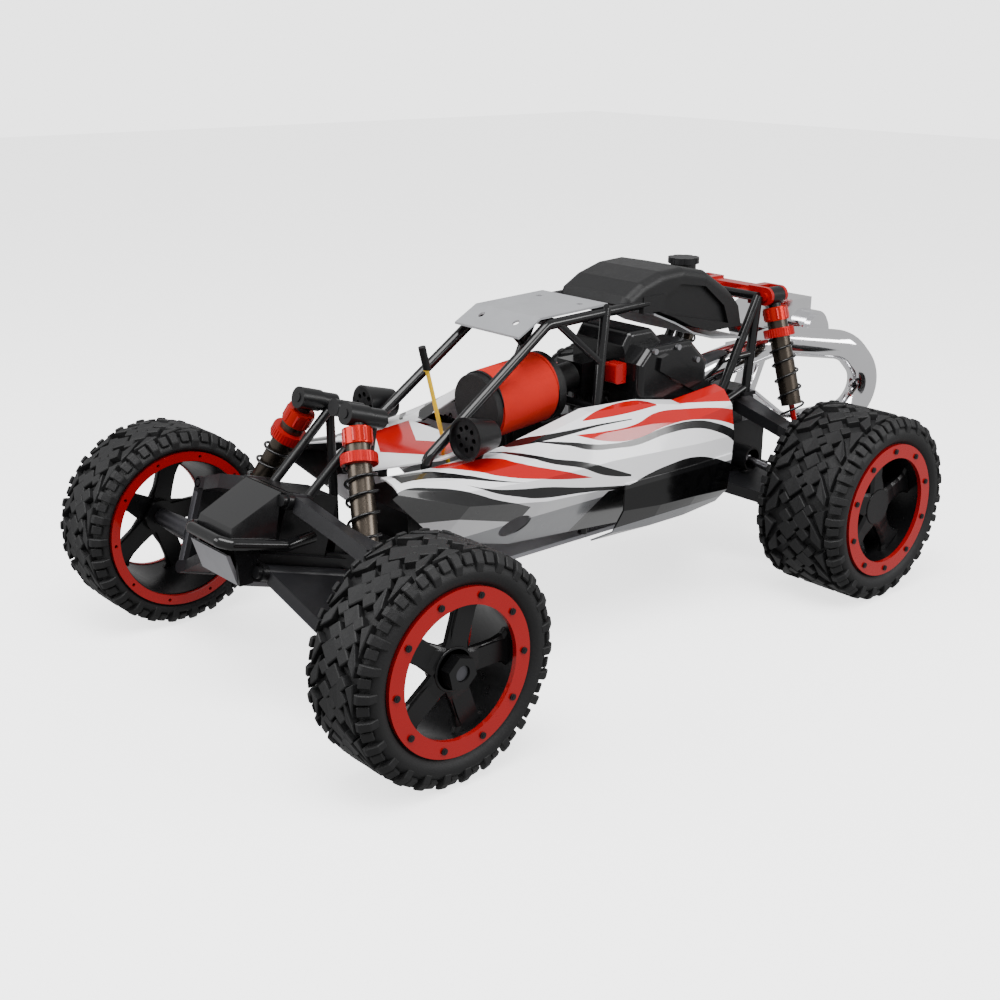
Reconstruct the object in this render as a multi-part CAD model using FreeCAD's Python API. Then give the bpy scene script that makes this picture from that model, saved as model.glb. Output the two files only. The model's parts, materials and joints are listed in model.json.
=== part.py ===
"""Fifth-scale petrol buggy, built as separate sub-parts in millimetres.

+X points forward, +Y to the driver's left, +Z up, and the tyres stand on Z = 0.
The model is laid out about the middle of the wheelbase, and moved at the end so that
the origin lies under the middle of the whole length.
"""
import FreeCAD
import Part
import math
import os

V = FreeCAD.Vector

# ---------------------------------------------------------------- driving sizes
WHEELBASE = 558.8
FRONT_TRACK_HALF = 204.3      # centre plane of a front tyre from the middle
REAR_TRACK_HALF = 179.0
TYRE_RADIUS = 93.9
FRONT_TYRE_WIDTH = 75.2
REAR_TYRE_WIDTH = 100.0
KICK_UP = 17.0                # degrees, nose and front hinge pins

RUN_FIT = 0.05                # radial clearance of a turning pin
SLIDE_FIT = 0.35              # gap between pieces that move past each other
OPEN_PIVOT = 1.6              # radial room in a pivot that closes a linkage loop
SHELL = 1.6                   # wall of the moulded body shells
PLATE = 4.0                   # chassis plate
CAGE_TUBE_R = 4.8
CHASSIS_Z = 78.0              # underside of the chassis plate
CHASSIS_HALF_WIDTH = 58.0
CHASSIS_REAR = -225.0
SKID_W = 1.0                  # underside of the skid in the tilted front frame
SKID_TIP_U = 64.0
SKID_HALF_WIDTH = 28.0

# rim and tyre, radii from the wheel's axis
RIM_SEAT_OUTER_R = 58.0
RIM_SEAT_INNER_R = 68.3
RIM_WALL = 4.0
RING_THICK = 4.0
RING_OUTER_R = 67.0
RING_OUTER_HOLE_R = 53.2
RING_INNER_R = 74.3
RING_INNER_HOLE_R = 65.6
RING_RECESS = 2.6             # ring face behind the tyre's side
RING_BOLTS = 10
RING_BOLT_R = 1.6
SIDEWALL = 5.5
BEAD_DROP = 6.6
SPOKES = 5
SPOKE_WIDTH = 17.0
SPOKE_THICK = 8.0
HUB_R = 16.0
NUT_ACROSS = 24.0
NUT_THICK = 10.0
NUT_HOLE_R = 6.0
FRONT_HUB_FACE = 24.0         # spoke disc's outer face from the tyre's centre plane
REAR_HUB_FACE = 10.0
SPINDLE_R = 6.0
REAR_AXLE_R = 7.0

# hinge pins of the arms: (across, height) in each axle's own frame, whose origin is
# the axle line in the middle of the car
PIN_R = 3.0
BARREL_R = 7.0
FRONT_LOWER_IN = (36.0, 15.0)
FRONT_LOWER_OUT = (136.0, -28.0)
FRONT_UPPER_IN = (31.0, 75.0)
FRONT_UPPER_OUT = (134.0, 52.0)
REAR_LOWER_IN = (38.0, -9.0)
REAR_LOWER_OUT = (123.0, -22.0)
REAR_UPPER_IN = (40.0, 78.0)
REAR_UPPER_OUT = (121.0, 50.0)
KINGPIN_Y = 152.0
KINGPIN_LOW = -27.0
KINGPIN_HIGH = 41.0
KNUCKLE_R = 9.0

FRONT_SHOCK_TOP = (35.0, 153.6)
FRONT_SHOCK_LOW = (116.0, -2.0)
FRONT_SHOCK_U = -10.0
REAR_SHOCK_TOP = (50.0, 186.0)
REAR_SHOCK_LOW = (107.0, 3.0)
REAR_SHOCK_U = -18.0
SHOCK_BODY_R = 10.5
SHOCK_COIL_R = 14.5
SHOCK_COLLAR_R = 15.5
SHOCK_CAP_R = 12.5
SHOCK_CAP_LENGTH = 14.0
SHOCK_NECK = 12.0             # eye centre to the top of the cap
SHOCK_COLLAR_DROP = 34.0      # eye centre to the top of the collar
SHOCK_COLLAR_THICK = 9.0
SHOCK_ROD_R = 3.0
SHOCK_SEAT_RISE = 22.0        # lower eye to the underside of the spring seat
SHOCK_SEAT_THICK = 5.0
FRONT_SHOCK_TUBE_SHARE = 0.62
REAR_SHOCK_TUBE_SHARE = 0.60
SHOCK_EYE_R = 9.5
SHOCK_LOWER_EYE_R = 6.0

TAIL_END = -446.8             # rearmost line of the exhaust

FRONT_X = WHEELBASE / 2
REAR_X = -WHEELBASE / 2
NOSE_END = FRONT_X + TYRE_RADIUS
ORIGIN_X = (NOSE_END + TAIL_END) / 2
CHASSIS_TOP = CHASSIS_Z + PLATE
TILT = math.radians(KICK_UP)

FRONT_FRAME = FreeCAD.Placement(V(FRONT_X, 0, TYRE_RADIUS), FreeCAD.Rotation(V(0, 1, 0), -KICK_UP))
REAR_FRAME = FreeCAD.Placement(V(REAR_X, 0, TYRE_RADIUS), FreeCAD.Rotation())


# ---------------------------------------------------------------- small helpers
def block(x0, x1, y0, y1, z0, z1):
    return Part.makeBox(x1 - x0, y1 - y0, z1 - z0, V(x0, y0, z0))


def rod(start, end, radius):
    return Part.makeCylinder(radius, (end - start).Length, start, end - start)


def cone(start, end, radius_start, radius_end):
    return Part.makeCone(radius_start, radius_end, (end - start).Length, start, end - start)


def sleeve(start, end, outer, inner):
    return rod(start, end, outer).cut(rod(start, end, inner))


def ball(centre, radius):
    return Part.makeSphere(radius, centre)


def along(start, end, share):
    return start + (end - start) * share


def polygon(points):
    return Part.Face(Part.makePolygon(list(points) + [points[0]]))


def prism(points, direction):
    return polygon(points).extrude(direction)


def fuse(shapes):
    first, rest = shapes[0], shapes[1:]
    return first.multiFuse(rest).removeSplitter() if rest else first


def group(shapes):
    return Part.makeCompound(shapes)


def mirrored(shape):
    return shape.mirror(V(0, 0, 0), V(0, 1, 0))


def both_sides(shape):
    return [shape, mirrored(shape)]


def beam(section_a, section_b):
    """A solid between two four-cornered sections."""
    wires = [Part.makePolygon(s + [s[0]]) for s in (section_a, section_b)]
    return Part.makeLoft(wires, True, True)


def rounded_path(points, bend):
    edges = []
    start = points[0]
    for before, corner, after in zip(points, points[1:], points[2:]):
        back = (before - corner).normalize()
        on = (after - corner).normalize()
        half = back.getAngle(on) / 2
        reach = bend / math.tan(half)
        inward = (back + on).normalize()
        middle = corner + inward * (bend / math.sin(half) - bend)
        first = corner + back * reach
        last = corner + on * reach
        edges.append(Part.LineSegment(start, first).toShape())
        edges.append(Part.Arc(first, middle, last).toShape())
        start = last
    edges.append(Part.LineSegment(start, points[-1]).toShape())
    return Part.Wire(edges)


def pipe(points, radius, bend):
    path = rounded_path(points, bend)
    ring = Part.Wire(Part.Circle(points[0], points[1] - points[0], radius).toShape())
    return path.makePipeShell([ring], True, True)


def ring_of(count, centre, axis, shape):
    """The same shape turned to evenly spaced places about an axis."""
    out = []
    for i in range(count):
        copy = shape.copy()
        copy.rotate(centre, axis, 360.0 * i / count)
        out.append(copy)
    return out


def placed(shape, frame):
    out = shape.copy()
    out.Placement = frame.multiply(out.Placement)
    return out


# ---------------------------------------------------------------- wheels
def tyre(width):
    half = width / 2
    bead = half - BEAD_DROP
    inner_bead = RIM_SEAT_INNER_R + 0.4
    outer_bead = RIM_SEAT_OUTER_R + 0.4
    shoulder = half - BEAD_DROP
    crown = TYRE_RADIUS - SIDEWALL
    outline = [
        (bead, outer_bead), (bead, RING_OUTER_R + 0.4), (half, RING_OUTER_R + 5.0),
        (half, TYRE_RADIUS - 10.0), (shoulder, TYRE_RADIUS), (-shoulder, TYRE_RADIUS),
        (-half, TYRE_RADIUS - 8.5), (-half, RING_INNER_R + 3.5),
        (-bead, RING_INNER_R + 0.4), (-bead, inner_bead), (-bead + SIDEWALL, inner_bead - 0.1),
        (-bead + SIDEWALL, RING_INNER_R + 2.0), (-half + SIDEWALL, RING_INNER_R + 6.0),
        (-shoulder + 3.0, crown), (shoulder - 3.0, crown), (half - SIDEWALL, TYRE_RADIUS - 12.0),
        (half - SIDEWALL, RING_OUTER_R + 7.0), (bead - SIDEWALL, RING_OUTER_R + 2.0),
        (bead - SIDEWALL, outer_bead + 1.2),
    ]
    section = polygon([V(0, y, r) for y, r in outline])
    return section.revolve(V(0, 0, 0), V(0, 1, 0), 360)


def rim(width, hub_face, bore):
    half = width / 2 - BEAD_DROP
    slope = (RIM_SEAT_INNER_R - RIM_SEAT_OUTER_R) / (2 * half)

    def seat(y):
        return RIM_SEAT_OUTER_R + slope * (half - y)

    outline = [(-half, seat(-half)), (half, seat(half)), (half, seat(half) - RIM_WALL),
               (-half, seat(-half) - RIM_WALL)]
    barrel = polygon([V(0, y, r) for y, r in outline]).revolve(V(0, 0, 0), V(0, 1, 0), 360)
    back = hub_face - SPOKE_THICK
    spoke = block(-SPOKE_WIDTH / 2, SPOKE_WIDTH / 2, back, hub_face, 4.0, seat(hub_face) - RIM_WALL / 2)
    hub = rod(V(0, back - 6.0, 0), V(0, hub_face + 2.0, 0), HUB_R)
    wheel = fuse([barrel, hub] + ring_of(SPOKES, V(0, 0, 0), V(0, 1, 0), spoke))
    return wheel.cut(rod(V(0, back - 20.0, 0), V(0, hub_face + 20.0, 0), bore))


def hub_nut(face, hole):
    radius = NUT_ACROSS / 2 / math.cos(math.pi / 6)
    corners = [V(radius * math.cos(math.radians(60 * i)), face, radius * math.sin(math.radians(60 * i)))
               for i in range(6)]
    nut = prism(corners, V(0, NUT_THICK, 0))
    return nut.cut(rod(V(0, face - 1, 0), V(0, face + NUT_THICK + 1, 0), hole))


def bead_rings(width):
    face = width / 2 - RING_RECESS
    inner_face = -width / 2 + RING_RECESS
    outer = sleeve(V(0, face - RING_THICK, 0), V(0, face, 0), RING_OUTER_R, RING_OUTER_HOLE_R)
    inner = sleeve(V(0, inner_face, 0), V(0, inner_face + RING_THICK, 0), RING_INNER_R, RING_INNER_HOLE_R)
    hole = rod(V(0, face - 10, RING_OUTER_R - 6.5), V(0, face + 10, RING_OUTER_R - 6.5), RING_BOLT_R)
    outer = outer.cut(group(ring_of(RING_BOLTS, V(0, 0, 0), V(0, 1, 0), hole)))
    hole = rod(V(0, inner_face - 10, RING_INNER_R - 4.3), V(0, inner_face + 10, RING_INNER_R - 4.3),
               RING_BOLT_R)
    inner = inner.cut(group(ring_of(RING_BOLTS, V(0, 0, 0), V(0, 1, 0), hole)))
    return group([outer, inner])


def front_wheel():
    shift = V(0, FRONT_TRACK_HALF, 0)
    nut_face = FRONT_HUB_FACE + 2.0
    parts = {
        "tyre": tyre(FRONT_TYRE_WIDTH),
        "rim": group([rim(FRONT_TYRE_WIDTH, FRONT_HUB_FACE, SPINDLE_R + RUN_FIT),
                      hub_nut(nut_face, NUT_HOLE_R + 0.5)]),
        "bead_rings": bead_rings(FRONT_TYRE_WIDTH),
    }
    for shape in parts.values():
        shape.translate(shift)
    return parts


def rear_wheel():
    shift = V(0, REAR_TRACK_HALF, 0)
    nut_face = REAR_HUB_FACE + 2.0
    back = REAR_HUB_FACE - SPOKE_THICK - 6.0
    inner_end = REAR_LOWER_OUT[0] - REAR_TRACK_HALF - 2.0
    axle = rod(V(0, inner_end, 0), V(0, nut_face + NUT_THICK, 0), REAR_AXLE_R)
    flange = rod(V(0, back - 6.0, 0), V(0, back, 0), HUB_R - 2.0)
    wheel = rim(REAR_TYRE_WIDTH, REAR_HUB_FACE, REAR_AXLE_R)
    parts = {
        "tyre": tyre(REAR_TYRE_WIDTH),
        "rim": group([fuse([wheel, axle, flange]), hub_nut(nut_face, REAR_AXLE_R + 0.1)]),
        "bead_rings": bead_rings(REAR_TYRE_WIDTH),
    }
    for shape in parts.values():
        shape.translate(shift)
    return parts


# ---------------------------------------------------------------- suspension arms
def pivot(u0, u1, pin, radius):
    return rod(V(u0, pin[0], pin[1]), V(u1, pin[0], pin[1]), radius)


def slab(inner, outer, thick):
    """A flat tapering web; each end is (u0, u1, (across, height))."""
    sections = []
    for u0, u1, (y, w) in (inner, outer):
        sections.append([V(u0, y, w - thick / 2), V(u1, y, w - thick / 2), V(u1, y, w + thick / 2),
                         V(u0, y, w + thick / 2)])
    return beam(*sections)


def toward(a, b, reach):
    """The point that lies a distance from a on the way to b, both (across, height)."""
    length = math.hypot(b[0] - a[0], b[1] - a[1])
    return (a[0] + (b[0] - a[0]) * reach / length, a[1] + (b[1] - a[1]) * reach / length)


def arm(inner_pin, outer_pin, inner_span, outer_span, fork, thick, outer_bore):
    """A wishbone: a long inner barrel, a tapering web and a forked outer end."""
    inner_web = toward(inner_pin, outer_pin, BARREL_R - 1.0)
    outer_web = toward(outer_pin, inner_pin, BARREL_R + 4.0)
    web = slab((inner_span[0], inner_span[1], inner_web), (outer_span[0], outer_span[1], outer_web), thick)
    pieces = [web, pivot(inner_span[0], inner_span[1], inner_pin, BARREL_R)]
    for u0, u1 in ((outer_span[0], -fork), (fork, outer_span[1])):
        tip = slab((u0, u1, outer_web), (u0, u1, outer_pin), thick)
        pieces += [tip, pivot(u0, u1, outer_pin, BARREL_R - 1.0)]
    shape = fuse(pieces)
    shape = shape.cut(pivot(inner_span[0] - 5, inner_span[1] + 5, inner_pin, PIN_R + RUN_FIT))
    return shape.cut(pivot(outer_span[0] - 5, outer_span[1] + 5, outer_pin, outer_bore))


FRONT_LOWER_SPAN = (-36.0, 46.0)
FRONT_UPPER_SPAN = (20.0, 33.0)
REAR_LOWER_SPAN = (-40.0, 44.0)
REAR_UPPER_SPAN = (4.0, 30.0)
OUTER_SPAN = (-19.0, 19.0)
FORK = 11.0
FORK_THICK = 10.0
ELBOW_RISE = 2.0
LUG = FORK - SLIDE_FIT        # half length of the upright's lug in the fork


def shock_ears(low, u, arm_point):
    """Two ears on a lower arm, with the shock's lower pin between them."""
    ears = []
    for side in (-1, 1):
        a = u + side * (SHOCK_LOWER_EYE_R + 1.0)
        b = a + side * 4.0
        u0, u1 = min(a, b), max(a, b)
        web = prism([V(u0, low[0] - 9.0, arm_point[1]), V(u0, low[0] + 9.0, arm_point[1] - 2.0),
                     V(u0, low[0] + 5.0, low[1]), V(u0, low[0] - 5.0, low[1])], V(u1 - u0, 0, 0))
        ears += [web, pivot(u0, u1, low, 5.0)]
    span = SHOCK_LOWER_EYE_R + 6.0
    ears.append(pivot(u - span, u + span, low, PIN_R - 0.5))
    return ears


def height_on(inner_pin, outer_pin, across):
    share = (across - inner_pin[0]) / (outer_pin[0] - inner_pin[0])
    return inner_pin[1] + (outer_pin[1] - inner_pin[1]) * share


def front_lower_arm():
    thick = 11.0
    body = arm(FRONT_LOWER_IN, FRONT_LOWER_OUT, FRONT_LOWER_SPAN, OUTER_SPAN, FORK, thick, PIN_R + RUN_FIT)
    seat = height_on(FRONT_LOWER_IN, FRONT_LOWER_OUT, FRONT_SHOCK_LOW[0])
    return fuse([body] + shock_ears(FRONT_SHOCK_LOW, FRONT_SHOCK_U, (0, seat + thick / 2 - 2.0)))


def rear_lower_arm():
    thick = 12.0
    body = arm(REAR_LOWER_IN, REAR_LOWER_OUT, REAR_LOWER_SPAN, OUTER_SPAN, FORK, thick, PIN_R + RUN_FIT)
    wing = block(-30.0, -6.0, 84.0, 112.0, -24.0, -15.0)
    seat = height_on(REAR_LOWER_IN, REAR_LOWER_OUT, REAR_SHOCK_LOW[0])
    return fuse([body, wing] + shock_ears(REAR_SHOCK_LOW, REAR_SHOCK_U, (0, seat + thick / 2 - 2.0)))


def bent_arm(inner, outer, span, elbow_span, elbow_y, far_span, thick):
    """An upper arm that turns aside for the shock before its forked outer end."""
    elbow = (elbow_y, height_on(inner, outer, elbow_y) + ELBOW_RISE)
    near = toward(inner, outer, BARREL_R - 1.0)
    far = toward(outer, inner, BARREL_R + 4.0)
    pieces = [slab((*span, near), (*elbow_span, elbow), thick)]
    pieces.append(slab((*elbow_span, elbow), (*far_span, far), thick))
    pieces.append(pivot(*span, inner, BARREL_R))
    for a, b in ((OUTER_SPAN[0], -FORK), (FORK, OUTER_SPAN[1])):
        pieces += [slab((a, b, far), (a, b, outer), FORK_THICK), pivot(a, b, outer, BARREL_R - 1.0)]
    bridge = toward(outer, inner, BARREL_R + 5.5)
    pieces.append(slab((*OUTER_SPAN, bridge), (*OUTER_SPAN, far), FORK_THICK))
    shape = fuse(pieces).cut(pivot(span[0] - 5, span[1] + 5, inner, PIN_R + RUN_FIT))
    return shape.cut(pivot(-30, 30, outer, PIN_R + OPEN_PIVOT))


def front_upper_arm():
    return bent_arm(FRONT_UPPER_IN, FRONT_UPPER_OUT, FRONT_UPPER_SPAN, (14.0, 27.0), 88.0, (-9.0, 19.0),
                    13.0)


def rear_upper_arm():
    return bent_arm(REAR_UPPER_IN, REAR_UPPER_OUT, REAR_UPPER_SPAN, (4.5, 24.0), 101.0, (4.5, 19.0), 12.0)


def upright_lugs(lower, upper, post_y):
    """The post of an upright with its lower and upper lugs and their pins."""
    half = LUG
    post = block(-half, half, post_y - 4.0, post_y + 4.0, lower[1] - 2.0, upper[1] + 2.0)
    pieces = [post]
    for pin in (lower, upper):
        y0, y1 = sorted((pin[0], post_y))
        pieces += [pivot(-half, half, pin, BARREL_R - 1.0),
                   block(-half, half, y0, y1, pin[1] - 4.5, pin[1] + 4.5)]
    shape = fuse(pieces)
    pins = [pivot(-OUTER_SPAN[1], OUTER_SPAN[1], pin, PIN_R) for pin in (lower, upper)]
    return fuse([shape] + pins)


def front_hub_carrier():
    """A C-shaped carrier whose two ears hold the kingpins."""
    post_y = FRONT_LOWER_OUT[0] + 4.0
    body = upright_lugs(FRONT_LOWER_OUT, FRONT_UPPER_OUT, post_y)
    ears = []
    for w0, w1 in ((KINGPIN_LOW - 7.0, KINGPIN_LOW), (KINGPIN_HIGH, KINGPIN_HIGH + 7.0)):
        ears.append(block(-9.0, 9.0, post_y - 3.0, KINGPIN_Y, w0, w1))
        ears.append(rod(V(0, KINGPIN_Y, w0), V(0, KINGPIN_Y, w1), KNUCKLE_R))
    inner_room = rod(V(0, KINGPIN_Y, KINGPIN_LOW), V(0, KINGPIN_Y, KINGPIN_HIGH), KNUCKLE_R + SLIDE_FIT)
    body = fuse([body] + ears).cut(inner_room)
    low_pin = rod(V(0, KINGPIN_Y, KINGPIN_LOW - 3.0), V(0, KINGPIN_Y, KINGPIN_LOW + 10.0), PIN_R)
    high_pin = rod(V(0, KINGPIN_Y, KINGPIN_HIGH - 10.0), V(0, KINGPIN_Y, KINGPIN_HIGH + 3.0), PIN_R)
    notch = block(-12.0, -3.0, post_y - 5.0, post_y + 5.0, 6.0, 24.0)
    return fuse([body, low_pin, high_pin]).cut(notch)


STEER_ARM = (-30.0, 152.0, 14.0)
TIE_ARC = 0.7                 # the outer eye sits at the middle of the lever's small arc
TIE_ROOT_W = 54.0             # height of a tie rod's inner eye
RACK_PIN_Y = 33.0
RACK_U = -42.0
RACK_W = TIE_ROOT_W - 6.0
RACK_R = 4.0
RACK_HALF = 42.0


def front_knuckle():
    low = KINGPIN_LOW + SLIDE_FIT
    high = KINGPIN_HIGH - SLIDE_FIT
    barrel = rod(V(0, KINGPIN_Y, low), V(0, KINGPIN_Y, high), KNUCKLE_R)
    hub_back = FRONT_TRACK_HALF + FRONT_HUB_FACE - SPOKE_THICK - 6.0
    spindle = rod(V(0, KINGPIN_Y, 0), V(0, hub_back + 24.0, 0), SPINDLE_R)
    shoulder = cone(V(0, KINGPIN_Y, 0), V(0, hub_back - SLIDE_FIT, 0), 11.0, 8.0)
    tip = V(*STEER_ARM)
    lever = prism([V(4, KINGPIN_Y - 4, tip.z - 4), V(4, KINGPIN_Y + 6, tip.z - 4),
                   V(tip.x, tip.y + 5, tip.z - 4),
                   V(tip.x, tip.y - 5, tip.z - 4)], V(0, 0, 8))
    boss = rod(V(tip.x, tip.y, tip.z - 4), V(tip.x, tip.y, tip.z + 4), 5.0)
    pin = rod(V(tip.x, tip.y, tip.z), V(tip.x, tip.y, tip.z + 14), 2.0)
    shape = fuse([barrel, spindle, shoulder, lever, boss, pin])
    for start, end in ((low - 1, low + 10.5), (high - 10.5, high + 1)):
        shape = shape.cut(rod(V(0, KINGPIN_Y, start), V(0, KINGPIN_Y, end), PIN_R + RUN_FIT))
    return shape


def tie_rod():
    """Links the steering rack to the knuckle's lever; both of its eyes have room."""
    tip = V(STEER_ARM[0] + TIE_ARC, STEER_ARM[1], STEER_ARM[2] + 9.5)
    root = V(STEER_ARM[0], RACK_PIN_Y, TIE_ROOT_W)
    shaft = rod(along(root, tip, 0.04), along(root, tip, 0.96), 2.6)
    eyes = []
    for centre in (root, tip):
        eyes.append(rod(centre - V(0, 0, 3.5), centre + V(0, 0, 3.5), 6.0))
    shape = fuse([shaft] + eyes)
    for centre in (root, tip):
        shape = shape.cut(rod(centre - V(0, 0, 8), centre + V(0, 0, 8), 2.0 + OPEN_PIVOT))
    return shape


def steering_rack():
    """Bar that slides across the car and pushes both tie rods."""
    bar = rod(V(RACK_U, -RACK_HALF, RACK_W), V(RACK_U, RACK_HALF, RACK_W), RACK_R)
    pieces = [bar]
    for side in (-1, 1):
        y0, y1 = sorted((side * (RACK_PIN_Y - 6.0), side * (RACK_PIN_Y + 6.0)))
        pieces.append(block(RACK_U - RACK_R, STEER_ARM[0] + 5.0, y0, y1, RACK_W - 3.0, TIE_ROOT_W - 5.2))
        foot = V(STEER_ARM[0], side * RACK_PIN_Y, RACK_W - 3.0)
        pieces.append(rod(foot, V(foot.x, foot.y, TIE_ROOT_W + 6.0), 2.0))
    return fuse(pieces)


def rack_guide():
    """Block on the skid that holds the steering rack."""
    half = RACK_PIN_Y - 21.0
    body = block(RACK_U - 5.0, RACK_U + 5.0, -half, half, SKID_W + PLATE, RACK_W)
    tube = rod(V(RACK_U, -half, RACK_W), V(RACK_U, half, RACK_W), RACK_R + 3.0)
    bore = rod(V(RACK_U, -RACK_HALF, RACK_W), V(RACK_U, RACK_HALF, RACK_W), RACK_R + RUN_FIT)
    return fuse([body, tube]).cut(bore)


def rear_hub_carrier():
    post_y = REAR_LOWER_OUT[0] + 1.0
    body = upright_lugs(REAR_LOWER_OUT, REAR_UPPER_OUT, post_y)
    hub_back = REAR_TRACK_HALF + REAR_HUB_FACE - SPOKE_THICK - 12.0
    boss = rod(V(0, post_y - 4.0, 0), V(0, hub_back - SLIDE_FIT - 1.0, 0), 13.0)
    return fuse([body, boss]).cut(rod(V(0, post_y - 20, 0), V(0, hub_back + 5, 0), REAR_AXLE_R + RUN_FIT))


DIFF_Z = 12.0                 # half shaft's inner joint above the axle line
DIFF_CUP_Y = 44.0


def driveshaft():
    """Half shaft from the differential's cup to the hub's stub axle."""
    inner = V(0, DIFF_CUP_Y, DIFF_Z)
    outer = V(0, REAR_LOWER_OUT[0] - 14.0, 0.9)
    shaft = rod(inner, outer, 3.6)
    balls = [ball(inner, 5.6), rod(along(inner, outer, 0.9), outer, 5.6)]
    return fuse([shaft] + balls)


# ---------------------------------------------------------------- dampers
def shock(top_pin, low_pin, u, tube_share, eye_length):
    top = V(u, top_pin[0], top_pin[1])
    low = V(u, low_pin[0], low_pin[1])
    axis = (low - top).normalize()
    length = (low - top).Length

    def at(distance):
        return top + axis * distance

    tube_end = length * tube_share
    eye = sleeve(V(u - eye_length / 2, top.y, top.z), V(u + eye_length / 2, top.y, top.z), SHOCK_EYE_R,
                 PIN_R + 1.0 + RUN_FIT)
    neck = rod(at(SHOCK_EYE_R - 1.5), at(SHOCK_NECK + 1), 6.5)
    cap = rod(at(SHOCK_NECK), at(SHOCK_NECK + SHOCK_CAP_LENGTH), SHOCK_CAP_R)
    tube = rod(at(SHOCK_NECK + 1), at(tube_end), SHOCK_BODY_R)
    collar = rod(at(SHOCK_COLLAR_DROP), at(SHOCK_COLLAR_DROP + SHOCK_COLLAR_THICK), SHOCK_COLLAR_R)
    bore = rod(at(SHOCK_NECK + 8), at(tube_end + 1), SHOCK_ROD_R + RUN_FIT)
    body = fuse([eye, neck, cap, tube, collar]).cut(bore)
    eye_low = sleeve(V(u - SHOCK_LOWER_EYE_R, low.y, low.z), V(u + SHOCK_LOWER_EYE_R, low.y, low.z),
                     SHOCK_LOWER_EYE_R, PIN_R - 0.5 + OPEN_PIVOT)
    seat_top = length - SHOCK_SEAT_RISE - SHOCK_SEAT_THICK
    stem = rod(at(length - SHOCK_SEAT_RISE - 1), at(length - SHOCK_LOWER_EYE_R + 0.8), 5.0)
    seat = rod(at(seat_top), at(length - SHOCK_SEAT_RISE), SHOCK_COIL_R)
    shaft = rod(at(tube_end - 34), at(length - SHOCK_SEAT_RISE), SHOCK_ROD_R)
    rod_part = fuse([eye_low, stem, seat, shaft])
    spring = sleeve(at(SHOCK_COLLAR_DROP + SHOCK_COLLAR_THICK), at(seat_top), SHOCK_COIL_R,
                    SHOCK_BODY_R + 0.6)
    return {"shock_body": body, "shock_rod": rod_part, "shock_spring": spring}


# ---------------------------------------------------------------- frame and nose
def skid_point(u, w):
    return V(FRONT_X + u * math.cos(TILT) - w * math.sin(TILT), 0,
             TYRE_RADIUS + u * math.sin(TILT) + w * math.cos(TILT))


def kick_start_u():
    """Where the tilted skid's underside meets the flat plate's underside."""
    return (CHASSIS_Z - TYRE_RADIUS - SKID_W * math.cos(TILT)) / math.sin(TILT)


def chassis_plate():
    bend = skid_point(kick_start_u(), SKID_W)
    flat = prism([V(CHASSIS_REAR, -44, CHASSIS_Z), V(-190, -CHASSIS_HALF_WIDTH, CHASSIS_Z),
                  V(130, -CHASSIS_HALF_WIDTH, CHASSIS_Z),
                  V(bend.x + 1, -SKID_HALF_WIDTH - 4, CHASSIS_Z), V(bend.x + 1, SKID_HALF_WIDTH + 4,
                                                                    CHASSIS_Z),
                  V(130, CHASSIS_HALF_WIDTH, CHASSIS_Z), V(-190, CHASSIS_HALF_WIDTH,
                                                           CHASSIS_Z), V(CHASSIS_REAR, 44, CHASSIS_Z)],
                 V(0, 0, PLATE))
    start = kick_start_u() - 1
    half = SKID_HALF_WIDTH
    skid = block(start, SKID_TIP_U, -half, half, SKID_W, SKID_W + PLATE)
    lip = beam([V(SKID_TIP_U - 4, -half, SKID_W), V(SKID_TIP_U, -half, SKID_W),
                V(SKID_TIP_U, half, SKID_W), V(SKID_TIP_U - 4, half, SKID_W)],
               [V(SKID_TIP_U + 13, -half, SKID_W + 24), V(SKID_TIP_U + 17, -half, SKID_W + 24),
                V(SKID_TIP_U + 17, half, SKID_W + 24), V(SKID_TIP_U + 13, half, SKID_W + 24)])
    return fuse([flat, placed(skid, FRONT_FRAME), placed(lip, FRONT_FRAME)])


TOWER_TOP_U = -30.0           # plane of the tower's crossbar


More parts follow.
